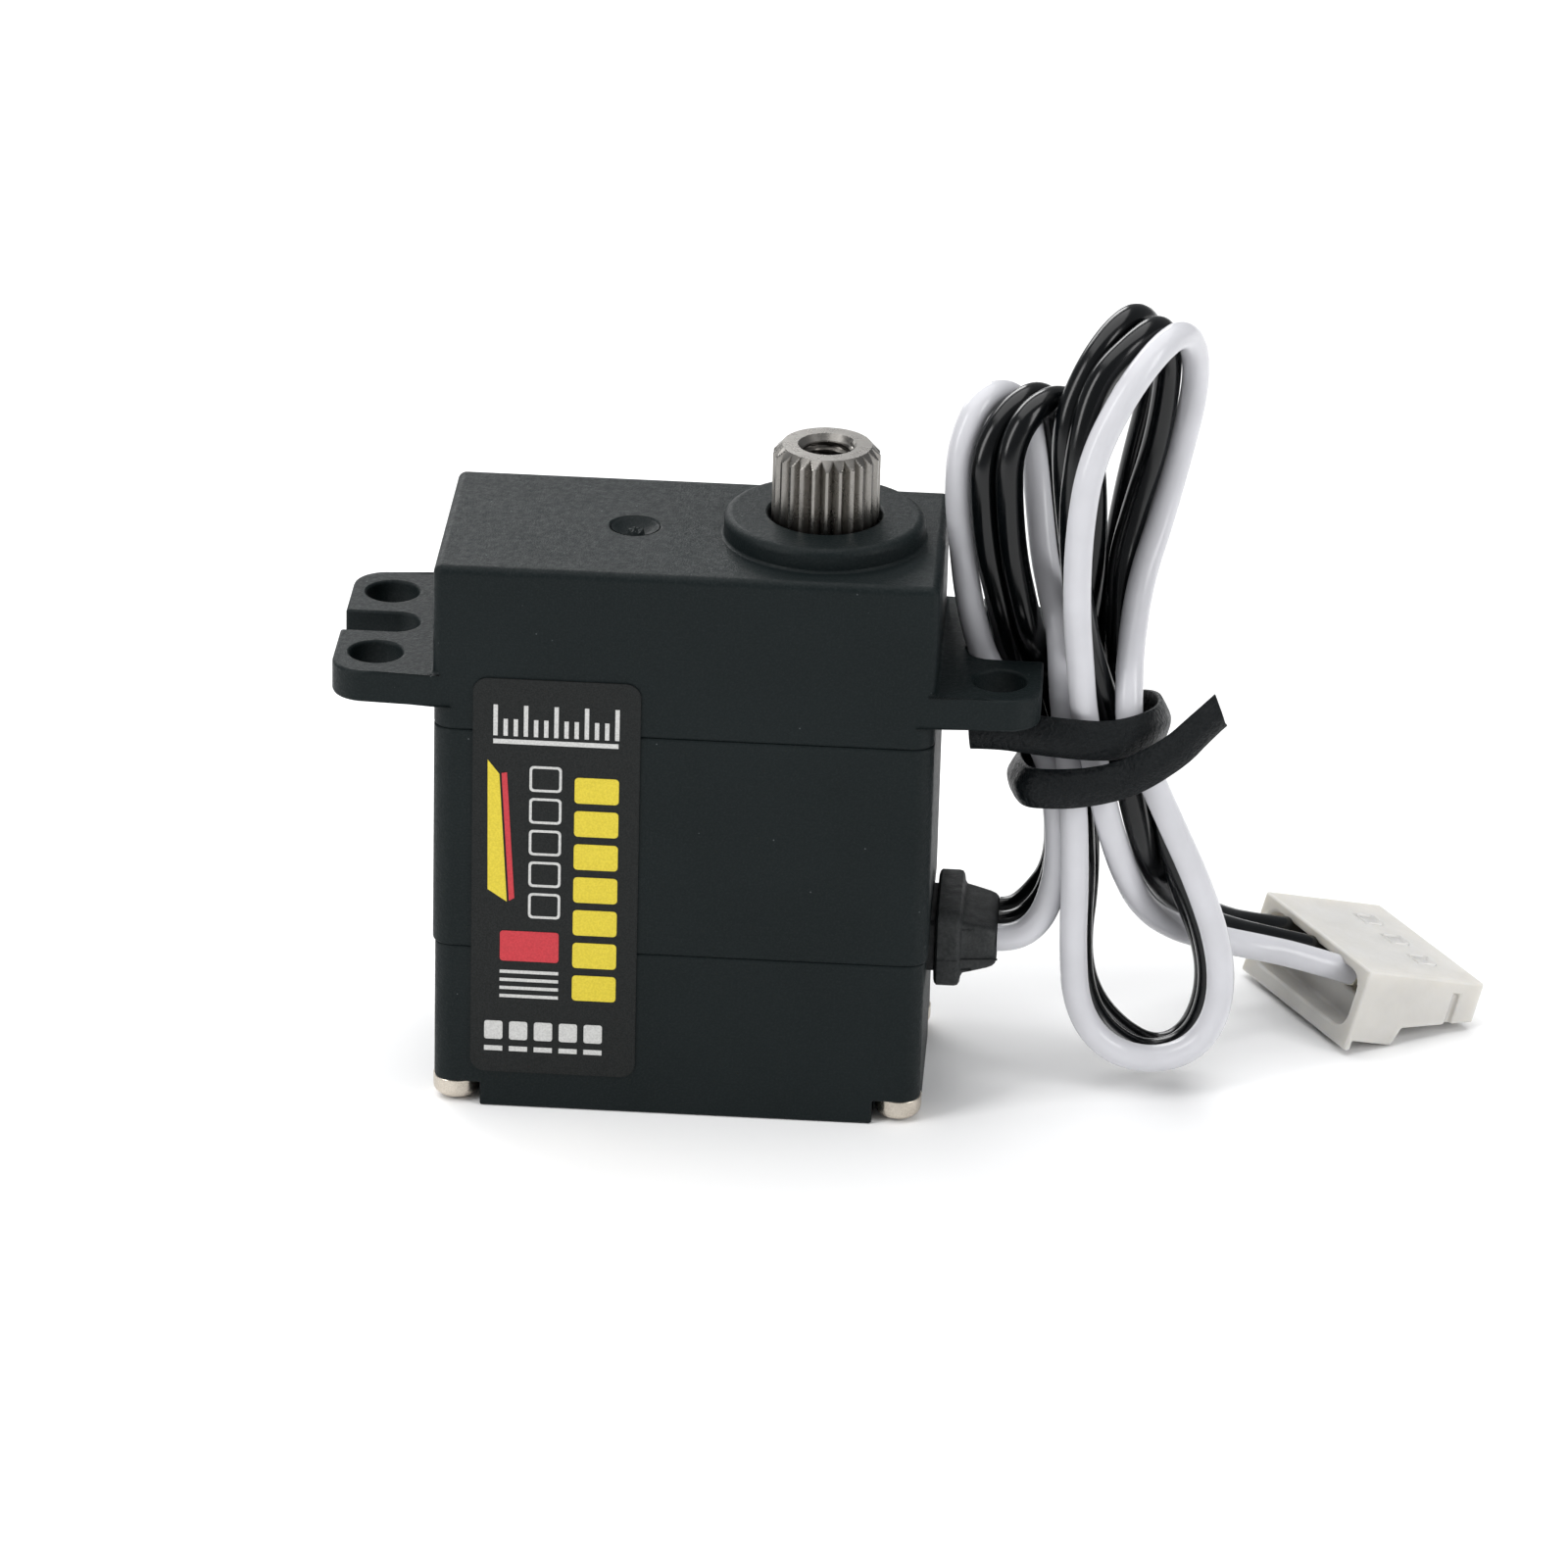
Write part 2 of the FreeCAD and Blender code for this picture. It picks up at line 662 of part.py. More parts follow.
def make_output_shaft():
    """Spindle, gear seat, collar and journal in one, with a splined and threaded head."""
    body = new_body("output_shaft")
    gear_top = S.output_level + S.output_gear_thickness
    lip = S.upper_bearing_base
    revolve(body, "shaft_turning", [
        (0, S.spindle_end), (S.spindle_radius, S.spindle_end),
        (S.spindle_radius, S.output_level), (S.gear_seat_radius, S.output_level),
        (S.gear_seat_radius, gear_top), (S.collar_radius, gear_top),
        (S.collar_radius, lip), (S.journal_radius, lip),
        (S.journal_radius, S.spline_base), (S.spline_root, S.spline_base),
        (S.spline_root, S.shaft_top), (0, S.shaft_top),
    ])
    # One tooth, then the same tooth all round
    half_pitch = math.pi / DIMENSIONS["spline_teeth"]
    foot = S.spline_root - 0.1
    foot_half = S.spline_root * (math.tan(half_pitch) * 0.92)
    crest_half = S.spline_crest * (math.tan(half_pitch) * 0.3)
    tooth = [(foot, -foot_half), (S.spline_root, -foot_half), (S.spline_crest, -crest_half),
             (S.spline_crest, crest_half), (S.spline_root, foot_half), (foot, foot_half)]
    pad = grow(body, "spline_tooth", S.spline_base - 0.1, S.shaft_top, [tooth])
    pattern = body.newObject("PartDesign::PolarPattern", "spline_teeth")
    pattern.Originals = [pad]
    pattern.Axis = (origin_axis(body), [""])
    pattern.Angle = 360
    pattern.Occurrences = DIMENSIONS["spline_teeth"]
    body.Tip = pattern
    doc.recompute()
    depth = S.spline_crest - S.spline_root
    groove_sketch = body.newObject("Sketcher::SketchObject", "spline_chamfer_sketch")
    groove_sketch.AttachmentSupport = [(origin_plane(body, "XZ_Plane"), "")]
    groove_sketch.MapMode = "FlatFace"
    draw_polygon(groove_sketch, [(S.spline_root, S.shaft_top),
                                 (S.spline_crest + 0.1, S.shaft_top - depth - 0.1),
                                 (S.spline_crest + 0.1, S.shaft_top + 0.1),
                                 (S.spline_root, S.shaft_top + 0.1)])
    groove = body.newObject("PartDesign::Groove", "spline_chamfer")
    groove.Profile = groove_sketch
    groove.ReferenceAxis = (groove_sketch, ["V_Axis"])
    groove.Angle = 360
    doc.recompute()
    grow(body, "horn_thread", S.shaft_top - S.horn_thread_depth, S.shaft_top + 0.1,
         circles=[(0, 0, S.horn_thread_radius)], cut=True)
    body.setExpression("Placement.Base.x", S.output_x.text)
    return listed(body, "output_shaft")


def make_pin_and_spacer():
    low = S.deck_seam - S.deck_thickness + 0.35
    high = S.case_height - 0.45
    turned_part("gear_pin", [(0, low), (S.pin_radius, low), (S.pin_radius, high), (0, high)], S.pin_x)
    spacer_low = S.lower_bearing_base + S.lower_bearing_height + 0.03
    turned_part("spindle_spacer",
                tube_outline(S.spindle_radius, S.spacer_radius, spacer_low, S.second_level - 0.03),
                S.output_x)


# ---------------------------------------------------------------- motor


def make_motor():
    """A brushed can motor: shell, magnets, armature, brushes and rear cap."""
    x = S.motor_x
    can_base = S.motor_base + S.motor_cap_height
    hole = S.motor_shaft_radius + S.running_play
    inner = S.motor_radius - S.motor_skin
    nose_top = S.motor_top + S.motor_nose_height
    turned_part("motor_can", [
        (inner, can_base), (S.motor_radius, can_base), (S.motor_radius, S.motor_top),
        (S.motor_nose_radius, S.motor_top), (S.motor_nose_radius, nose_top),
        (hole, nose_top), (hole, S.motor_top - 0.6), (inner, S.motor_top - 0.6),
    ], x)
    turned_part("motor_end_cap", [
        (0, S.motor_base), (S.motor_radius, S.motor_base), (S.motor_radius, can_base),
        (hole, can_base), (hole, S.motor_base + 0.2), (0, S.motor_base + 0.2),
    ], x)
    turned_part("motor_shaft", [
        (0, S.motor_shaft_base), (S.motor_shaft_radius, S.motor_shaft_base),
        (S.motor_shaft_radius, S.motor_shaft_top), (0, S.motor_shaft_top),
    ], x)
    turned_part("motor_commutator",
                tube_outline(S.motor_shaft_radius, S.commutator_radius, can_base + 0.4, can_base + 2.6), x)

    body = new_body("motor_armature")
    low = S.armature_base
    high = low + S.armature_height
    grow(body, "armature_core", low, high,
         circles=[(0, 0, S.armature_radius), (0, 0, S.motor_shaft_radius)])
    slot = [(1.5, -0.35), (S.armature_radius + 0.2, -0.35), (S.armature_radius + 0.2, 0.35), (1.5, 0.35)]
    cut = grow(body, "winding_slot", low - 0.1, high + 0.1, [slot], cut=True)
    pattern = body.newObject("PartDesign::PolarPattern", "winding_slots")
    pattern.Originals = [cut]
    pattern.Axis = (origin_axis(body), [""])
    pattern.Angle = 360
    pattern.Occurrences = 3
    body.Tip = pattern
    body.setExpression("Placement.Base.x", x.text)
    listed(body, "motor_armature")

    body = new_body("motor_magnets")
    ring = [(0, 0, inner - 0.05), (0, 0, S.magnet_inner_radius)]
    grow(body, "magnet_ring", low - 0.5, high + 0.5, circles=ring)
    gap = rectangle(-S.motor_radius, S.motor_radius, -0.8, 0.8)
    grow(body, "magnet_gap", low - 0.6, high + 0.6, [gap], cut=True)
    body.setExpression("Placement.Base.x", x.text)
    listed(body, "motor_magnets")

    brushes = []
    for side in SIDES:
        edge = x + side * (S.commutator_radius + 0.05)
        brushes.append(box(f"motor_brush_{side + 1}", edge if side > 0 else edge - 1.6, -0.5,
                           can_base + 0.9, 1.6, 1.0, 1.2))
    listed(compound("brush_pair", brushes), "motor_brushes")
    tabs = [box(f"motor_tab_{side + 1}", x + side * 2.6 - 0.15, -0.9, S.board_base + S.board_thickness,
                0.3, 1.8, S.motor_base - S.board_base - S.board_thickness) for side in SIDES]
    listed(compound("tab_pair", tabs), "motor_terminals")


# ---------------------------------------------------------------- electronics


def box(name, x, y, z, length, width, height):
    """A box with its low corner at x, y, z."""
    solid = doc.addObject("Part::Box", name)
    sizes = {"Length": length, "Width": width, "Height": height,
             "Placement.Base.x": x, "Placement.Base.y": y, "Placement.Base.z": z}
    for place, size in sizes.items():
        solid.setExpression(place, sized(size).text)
    return solid


def compound(name, links):
    group = doc.addObject("Part::Compound", name)
    group.Links = links
    return group


def make_electronics():
    board_top = S.board_base + S.board_thickness
    sensor_top = S.encoder_board_base + S.encoder_board_thickness
    listed(box("main_board", -9.2, -5.0, S.board_base, 18.4, 10.0, S.board_thickness), "circuit_board")
    listed(box("controller_chip", 3.9, -4.4, board_top, 3.6, 3.5, 0.9), "microcontroller")
    listed(box("driver_chip", 3.9, 0.7, board_top, 3.6, 3.7, 0.9), "motor_driver")
    capacitors = [box(f"capacitor_{number}", 0.2, y - 0.9, board_top, 1.1, 1.8, 1.1)
                  for number, y in enumerate((-3.2, 0.0, 3.2))]
    listed(compound("capacitor_row", capacitors), "board_capacitors")
    pins = [box(f"header_pin_{number}", 2.45, -1.9 + 1.27 * number - 0.25, board_top,
                0.5, 0.5, S.encoder_board_base - board_top) for number in range(4)]
    listed(compound("pin_row", pins), "header_pins")
    listed(box("sensor_board", 2.0, -5.0, S.encoder_board_base, 7.2, 10.0,
               S.encoder_board_thickness), "encoder_board")
    listed(box("sensor_chip", S.output_x - 1.5, -1.5, sensor_top, 3.0, 3.0, 0.9), "encoder_chip")
    turned_part("encoder_magnet",
                tube_outline(S.spindle_radius, S.encoder_magnet_radius, S.spindle_end,
                             S.spindle_end + S.encoder_magnet_height), S.output_x)


# ---------------------------------------------------------------- cord

# The lead is a flat ribbon of three wires. Each line is a point on the middle wire, then the step
# from the middle wire to the white one. The black wire on the other side is the same step away.
ROUTE = [
    ((14.75, 0.0, 7.6), (0.0, -1.5, 0.0)),
    ((15.65, 0.0, 7.6), (0.0, -1.5, 0.0)),
    ((16.6, 0.0, 8.15), (0.0, -1.5, 0.0)),
    ((17.1, 0.0, 9.1), (0.0, -1.5, 0.0)),
    ((17.15, 0.0, 11.0), (0.0, -1.5, 0.0)),
    ((17.0, 0.0, 14.2), (0.0, -1.5, 0.0)),
    # up through the tie and the slot of the right ear
    ((16.5, 0.1, 16.8), (0.0, -1.5, 0.0)),
    ((16.0, 0.15, 18.9), (-0.9, -1.2, 0.0)),
    ((15.35, 0.0, 20.8), (-1.5, 0.0, 0.0)),
    ((15.1, 0.0, 22.2), (-1.5, 0.0, 0.0)),
    ((14.5, 0.0, 24.2), (-1.5, 0.0, 0.0)),
    # over the low loop
    ((14.0, 0.0, 26.4), (-1.5, 0.0, 0.0)),
    ((13.85, 0.0, 29.1), (-1.5, 0.0, 0.0)),
    ((13.95, 0.2, 31.8), (-1.5, 0.0, 0.0)),
    ((14.5, 1.1, 33.9), (-1.51, 0.29, -0.13)),
    ((15.5, 2.9, 34.2), (-1.51, 0.27, -0.12)),
    ((16.4, 4.3, 32.6), (-1.51, 0.13, -0.06)),
    ((16.9, 4.6, 29.9), (-1.5, 0.0, 0.0)),
    ((17.3, 4.1, 27.0), (-1.5, 0.0, 0.0)),
    ((17.7, 3.3, 24.2), (-1.35, -0.6, 0.0)),
    ((17.95, 2.1, 21.3), (-0.9, -1.27, 0.03)),
    ((17.8, 0.9, 19.0), (-0.4, -1.52, 0.03)),
    ((17.85, 0.3, 16.7), (0.0, -1.5, 0.0)),
    ((18.15, 0.0, 14.3), (0.0, -1.5, 0.0)),
    # round the loop below the tie
    ((18.5, 0.0, 11.0), (-0.25, -1.48, 0.0)),
    ((18.65, 0.0, 7.9), (-0.3, -1.47, 0.0)),
    ((19.2, 0.0, 5.1), (-0.35, -1.4, -0.3)),
    ((20.4, 0.0, 3.3), (-0.2, -1.4, -0.45)),
    ((22.1, 0.0, 2.6), (0.0, -1.4, -0.5)),
    ((23.7, 0.0, 3.3), (0.25, -1.42, -0.4)),
    ((24.6, 0.0, 5.0), (0.4, -1.43, -0.2)),
    ((24.6, 0.0, 7.4), (0.45, -1.43, 0.0)),
    ((23.8, 0.0, 10.3), (0.4, -1.44, 0.0)),
    ((22.7, 0.0, 12.7), (0.3, -1.47, 0.0)),
    ((21.8, 0.0, 14.9), (0.2, -1.48, 0.0)),
    ((21.1, 0.1, 17.1), (0.15, -1.49, 0.0)),
    # over the high loop
    ((20.5, 0.9, 19.2), (0.41, -1.58, 0.06)),
    ((20.0, 2.1, 21.3), (0.81, -1.45, 0.08)),
    ((19.7, 3.7, 24.0), (1.25, -0.8, 0.0)),
    ((20.3, 4.9, 26.8), (1.4, -0.5, 0.0)),
    ((20.9, 5.7, 29.8), (1.47, -0.3, 0.0)),
    ((21.2, 5.8, 33.0), (1.47, -0.3, 0.0)),
    ((21.0, 4.9, 35.6), (1.45, -0.4, 0.0)),
    ((20.1, 3.3, 37.0), (1.4, -0.5, 0.0)),
    ((19.0, 1.4, 36.4), (1.35, -0.6, 0.0)),
    ((17.9, 0.0, 34.3), (1.35, -0.6, 0.0)),
    ((17.1, -0.9, 31.3), (1.3, -0.7, 0.0)),
    ((17.0, -1.2, 28.1), (1.15, -0.95, 0.0)),
    ((17.4, -0.9, 24.5), (0.6, -1.37, 0.0)),
    ((18.0, -0.6, 21.8), (0.2, -1.48, 0.0)),
    ((18.5, -0.45, 19.3), (-0.1, -1.5, 0.0)),
    ((18.95, -0.3, 17.0), (-0.2, -1.48, 0.0)),
    ((19.8, 0.1, 14.4), (-0.5, -1.49, 0.04)),
    # out to the connector
    ((21.0, 1.0, 11.6), (-0.68, -1.65, 0.16)),
    ((22.3, 2.3, 9.4), (-0.68, -1.55, -0.34)),
    ((23.9, 3.9, 7.6), (-0.48, -1.67, -0.41)),
    ((25.6, 5.5, 6.2), (-0.09, -1.64, -0.39)),
    ((27.0, 6.7, 5.2), (0.6, -1.55, -0.2)),
    ((28.3, 7.5, 4.3), (1.15, -2.0, 0.0)),
    ((29.8, 8.4, 3.34), (1.27, -2.15, 0.0)),
]
HANK_START = 5
HANK_END = 52
# The hank's ribbons, each between two points of the route
RIBBONS = [(5, 15), (15, 23), (23, 28), (28, 35), (35, 43), (43, 52)]
WIRES = {"signal": 1, "positive": 0, "negative": -1}

# The strap that ties the hank: the middle of its width all the way, from end to end
TIE_ROUTE = [
    (13.2, -2.6, 18.4), (15.5, -3.0, 18.6), (18.2, -3.2, 18.9), (20.5, -3.1, 19.1),
    (22.0, -2.2, 19.1), (22.6, -0.3, 18.8), (22.0, 2.0, 18.2), (20.0, 3.3, 17.4),
    (17.6, 3.4, 16.6), (15.8, 2.3, 16.0), (15.1, 0.2, 15.8), (15.4, -1.7, 15.9),
    (16.6, -3.0, 16.1), (18.7, -3.6, 16.5), (21.1, -4.1, 17.7), (23.2, -4.1, 19.1),
    (24.7, -3.6, 20.7),
]


def wire_route(side, first, last):
    """The points of one wire of the ribbon between two places on the route."""
    return [V(*spot) + V(*step) * side for spot, step in ROUTE[first:last + 1]]


def bent_path(points, name):
    """Straight runs joined by tangent arcs, each as large as its two runs allow."""
    edges = []
    start = points[0]
    tightest = math.inf
    for before, corner, after in zip(points, points[1:], points[2:]):
        along = (corner - before).normalize()
        onward = (after - corner).normalize()
        half_turn = along.getAngle(onward) / 2
        cut = 0.45 * min(corner.distanceToPoint(before), corner.distanceToPoint(after))
        radius = cut / math.tan(half_turn)
        tightest = min(tightest, radius)
        inward = (onward - along).normalize()
        crown = corner + inward * (radius / math.cos(half_turn) - radius)
        enter = corner - along * cut
        leave = corner + onward * cut
        edges.append(Part.makeLine(start, enter))
        edges.append(Part.Arc(enter, crown, leave).toShape())
        start = leave
    edges.append(Part.makeLine(start, points[-1]))
    path = Part.Wire(edges)
    print(f"{name}: length {path.Length:.1f} mm, tightest radius {tightest:.1f} mm")
    return path


def wire_tube(points, radius, name):
    """A round wire along a bent path."""
    path = bent_path(points, name)
    ring = Part.Wire(Part.makeCircle(radius, points[0], points[1] - points[0]))
    tube = path.makePipeShell([ring], True, False)
    expected = math.pi * radius ** 2 * path.Length
    if abs(tube.Volume - expected) > 0.02 * expected:
        raise RuntimeError(f"{name}: volume {tube.Volume:.1f}, expected {expected:.1f}")
    return tube


def feature(node, shape):
    obj = doc.addObject("Part::Feature", node + "_shape")
    obj.Shape = shape
    return listed(obj, node)


def band(spots, steps, half_width, thickness):
    """A flat band through the spots, its width along the steps."""
    sections = []
    for number, (spot, step) in enumerate(zip(spots, steps)):
        before = spots[max(number - 1, 0)]
        after = spots[min(number + 1, len(spots) - 1)]
        along = (after - before).normalize()
        across = (step - along * step.dot(along)).normalize()
        through = along.cross(across)
        corners = [spot + across * a * half_width + through * b * thickness / 2
                   for a, b in ((-1, -1), (1, -1), (1, 1), (-1, 1))]
        sections.append(Part.makePolygon(corners + corners[:1]))
    return Part.makeLoft(sections, True, True)


def make_hank():
    """The tied part of the lead as one solid: its ribbons and the bundle inside the tie."""
    half_width = (S.wire_pitch + S.wire_radius).value
    ribbons = []
    for first, last in RIBBONS:
        spots = [V(*spot) for spot, _ in ROUTE[first:last + 1]]
        steps = [V(*step) for _, step in ROUTE[first:last + 1]]
        ribbons.append(band(spots, steps, half_width, 1.3))
    bundle = Part.makeBox(5.4, 3.6, 2.6, V(16.2, -1.8, 15.9))
    hank = bundle.fuse(ribbons)
    feature("cord_hank", hank)


def make_cord():
    radius = S.wire_radius.value
    for word, side in WIRES.items():
        lead = wire_route(side, 0, HANK_START)
        tail = wire_route(side, HANK_END, len(ROUTE) - 1)
        feature(word + "_wire_lead", wire_tube(lead, radius, word + "_wire_lead"))
        feature(word + "_wire_tail", wire_tube(tail, radius, word + "_wire_tail"))
    make_hank()
    spots = [V(*spot) for spot in TIE_ROUTE]
    strap = band(spots, [UP] * len(spots), S.tie_width.value / 2, S.tie_thickness.value)
    feature("cord_tie", strap)

    # Ends of the three wires inside the case, from the gland down to the circuit board
    board_top = (S.board_base + S.board_thickness).value
    inner_face = (INNER_X - 0.7).value
    stubs = []
    for side in (-1, 0, 1):
        y = side * S.wire_pitch.value
        bend = [V(inner_face, y, S.gland_z.value), V(8.6, y, S.gland_z.value - 0.4), V(8.5, y, board_top)]
        stubs.append(wire_tube(bend, radius - 0.1, "inner wire"))
    feature("inner_wires", Part.makeCompound(stubs))


def make_gland():
    """Rubber strain relief: a flange each side of the wall and a tapered nose."""
    z = S.gland_z
    inner = box("gland_inner_flange", INNER_X - 0.7, -2.7, z - 1.8, 0.7, 5.4, 3.6)
    neck = box("gland_neck", INNER_X, -S.gland_neck_depth / 2, z - S.gland_neck_height / 2,
               S.wall + 0.3, S.gland_neck_depth, S.gland_neck_height)
    flange = box("gland_flange", HALF_LENGTH + 0.2, -S.gland_flange_depth / 2,
                 z - S.gland_flange_height / 2, 1.25, S.gland_flange_depth, S.gland_flange_height)
    nose = doc.addObject("Part::Wedge", "gland_nose")
    nose_start = HALF_LENGTH + 1.45
    bounds = {"Xmin": -2.5, "Xmax": 2.5, "X2min": -2.35, "X2max": 2.35, "Zmin": -1.45, "Zmax": 1.45,
              "Z2min": -1.05, "Z2max": 1.05, "Ymin": 0, "Ymax": S.gland_end - nose_start}
    for word, value in bounds.items():
        nose.setExpression(word, sized(value).text)
    nose.Placement.Rotation = FreeCAD.Rotation(UP, -90)
    nose.setExpression("Placement.Base.x", nose_start.text)
    nose.setExpression("Placement.Base.z", z.text)
    whole = doc.addObject("Part::MultiFuse", "gland_whole")
    whole.Shapes = [inner, neck, flange, nose]
    return listed(whole, "cable_gland")


# The connector's own axes: X across the contacts, Y up and Z the way it plugs in
CONNECTOR_CORNER = V(32.56, 4.27, 4.32)
CONNECTOR_HEADING = 30.5
CONNECTOR_DIP = 17.0


def connector_placement():
    heading = FreeCAD.Rotation(UP, 90 + CONNECTOR_HEADING)
    upright = FreeCAD.Rotation(V(1, 0, 0), 90 + CONNECTOR_DIP)
    return FreeCAD.Placement(CONNECTOR_CORNER, heading.multiply(upright))


def contact_centres():
    middle = S.connector_width / 2
    return [middle + side * S.contact_pitch for side in (-1, 0, 1)]


def make_connector():
    body = new_body("connector_housing")
    width = S.connector_width
    foot = S.connector_foot_length
    grow(body, "rear_lip", 0, S.connector_lip_length, [rectangle(0, width, -S.connector_lip_height, 0)])
    grow(body, "rear_block", S.connector_lip_length - 0.1, foot,
         [rectangle(0, width, -S.connector_height, 0)])
    grow(body, "nose_block", foot - 0.1, S.connector_length,
         [rectangle(0, width, -S.connector_nose_height, 0)])
    for number, x in enumerate(contact_centres()):
        bay = rectangle(x - 0.95, x + 0.95, -1.95, -0.25)
        grow(body, f"contact_bay_{number}", -0.1, S.connector_length + 0.1, [bay], cut=True)
        window = rectangle(x - 0.55, x + 0.55, -0.3, 0.1)
        grow(body, f"latch_window_{number}", 4.1, 5.2, [window], cut=True)
    body.Placement = connector_placement()
    listed(body, "connector_housing")

    contacts = []
    for number, x in enumerate(contact_centres()):
        barrel = doc.addObject("Part::Cylinder", f"crimp_barrel_{number}")
        barrel.Radius = 0.62
        barrel.Height = 1.6
        barrel.setExpression("Placement.Base.x", x.text)
        barrel.Placement.Base.y = -1.05
        receptacle = box(f"receptacle_{number}", x - 0.7, -1.75, 1.5, 1.4, 1.4, 4.6)
        contact = doc.addObject("Part::Fuse", f"contact_{number}")
        contact.Base = barrel
        contact.Tool = receptacle
        contacts.append(contact)
    group = compound("contact_row", contacts)
    group.Placement = connector_placement()
    listed(group, "connector_contacts")


def make_label():
    plate = box("label_plate", S.label_left, -HALF_WIDTH - S.label_thickness, S.label_base,
                S.label_right - S.label_left, S.label_thickness, S.label_top - S.label_base)
    rounded = doc.addObject("Part::Fillet", "label_corners")
    doc.recompute()
    corner_edges = [i for i, edge in enumerate(plate.Shape.Edges, start=1)
                    if abs(edge.Length - S.label_thickness.value) < 0.001]
    rounded.Base = plate
    rounded.Edges = [(i, S.label_radius.value, S.label_radius.value) for i in corner_edges]
    return listed(rounded, "front_label")


make_top_case()
make_middle_case()
make_bottom_cover()
make_case_screws()
make_bearing("upper", S.upper_bearing_base, S.upper_bearing_height, S.journal_radius,
             S.upper_bearing_radius, S.upper_pitch_radius, 14)
make_bearing("lower", S.lower_bearing_base, S.lower_bearing_height, S.spindle_radius,
             S.lower_bearing_radius, S.lower_pitch_radius, 8)
make_gears()
make_output_shaft()
make_pin_and_spacer()
make_motor()
make_electronics()
make_gland()
make_cord()
make_connector()
make_label()

doc.recompute()
for obj in doc.Objects:
    if "Invalid" in obj.State or "Error" in obj.State:
        raise RuntimeError(f"{obj.Name} failed: {obj.State}")
os.makedirs("parts", exist_ok=True)
for part in parts:
    shape = part.Shape
    if shape.isNull() or not shape.isValid():
        raise RuntimeError(f"{part.Label} has no valid shape")
    shape.exportStep(f"parts/{part.Label}.step")
    print(f"{part.Label:28s} {len(shape.Solids)} solids {shape.Volume:9.2f} mm3")
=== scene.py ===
"""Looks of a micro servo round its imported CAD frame. Lengths are written in millimetres."""

import math

import bmesh
import bpy
from mathutils import Matrix, Vector, noise


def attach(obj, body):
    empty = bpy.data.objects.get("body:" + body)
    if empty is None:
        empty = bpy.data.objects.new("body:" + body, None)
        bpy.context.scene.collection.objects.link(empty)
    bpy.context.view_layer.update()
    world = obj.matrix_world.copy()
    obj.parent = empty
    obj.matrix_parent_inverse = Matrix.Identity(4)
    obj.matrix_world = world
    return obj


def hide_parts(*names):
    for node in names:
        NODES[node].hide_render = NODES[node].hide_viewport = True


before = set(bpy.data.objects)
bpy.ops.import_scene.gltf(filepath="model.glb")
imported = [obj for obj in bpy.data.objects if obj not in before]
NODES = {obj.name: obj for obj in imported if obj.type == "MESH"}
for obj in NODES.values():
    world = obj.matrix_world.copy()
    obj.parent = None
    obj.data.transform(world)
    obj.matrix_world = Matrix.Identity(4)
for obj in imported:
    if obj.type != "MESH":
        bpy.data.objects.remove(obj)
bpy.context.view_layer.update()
MM = 0.001
UP = Vector((0, 0, 1))

# ---------------------------------------------------------------- camera, lights and floor

FRAME_PIXELS = 1600
FOCAL_PIXELS = 7852.6
SENSOR = 36
CAMERA_PLACE = Vector((21.15, -329.09, 163.88)) * MM
CAMERA_YAW = math.radians(-2.91)
CAMERA_PITCH = math.radians(24.37)
CAMERA_ROLL = math.radians(1.52)
LIT_SPOT = Vector((12, 0, 18)) * MM
FLOOR_SIZE = 1500
FLOOR_GAP = 0.02


def linked(name, data):
    obj = bpy.data.objects.new(name, data)
    bpy.context.scene.collection.objects.link(obj)
    return obj


def make_camera():
    forward = Vector((math.sin(CAMERA_YAW) * math.cos(CAMERA_PITCH),
                      math.cos(CAMERA_YAW) * math.cos(CAMERA_PITCH), -math.sin(CAMERA_PITCH)))
    right = Vector((math.cos(CAMERA_YAW), -math.sin(CAMERA_YAW), 0))
    up = right.cross(forward)
    across = math.cos(CAMERA_ROLL) * right + math.sin(CAMERA_ROLL) * up
    upward = -math.sin(CAMERA_ROLL) * right + math.cos(CAMERA_ROLL) * up
    data = bpy.data.cameras.new("camera")
    data.sensor_width = SENSOR
    data.lens = SENSOR * FOCAL_PIXELS / FRAME_PIXELS
    data.clip_start = 0.01
    data.clip_end = 20
    camera = linked("camera", data)
    turn = Matrix((across, upward, -forward)).transposed().to_4x4()
    camera.matrix_world = Matrix.Translation(CAMERA_PLACE) @ turn
    bpy.context.scene.camera = camera


def area_light(name, place, size, power):
    """A soft box that faces the middle of the servo. Its place and size are in metres."""
    data = bpy.data.lights.new(name, "AREA")
    data.shape = "RECTANGLE"
    data.size, data.size_y = size
    data.energy = power
    lamp = linked(name, data)
    lamp.location = place
    lamp.rotation_euler = (LIT_SPOT - Vector(place)).to_track_quat("-Z", "Y").to_euler()


def make_lights():
    area_light("top_softbox", (-0.05, 0.10, 0.70), (0.9, 0.8), 5.0)
    area_light("left_softbox", (-0.42, -0.30, 0.30), (0.20, 0.45), 1.9)
    area_light("right_softbox", (0.48, -0.25, 0.26), (0.20, 0.40), 1.5)
    area_light("back_softbox", (-0.30, 0.62, 0.33), (0.55, 0.26), 2.6)
    world = bpy.data.worlds.new("studio")
    bpy.context.scene.world = world
    world.use_nodes = True
    sky = world.node_tree.nodes["Background"].inputs
    sky["Color"].default_value = (0.95, 0.97, 1.0, 1)
    sky["Strength"].default_value = 0.27
    bpy.context.scene.view_settings.view_transform = "Standard"


# ---------------------------------------------------------------- materials

SOCKETS = {"metallic": "Metallic", "specular": "Specular IOR Level", "subsurface": "Subsurface Weight"}
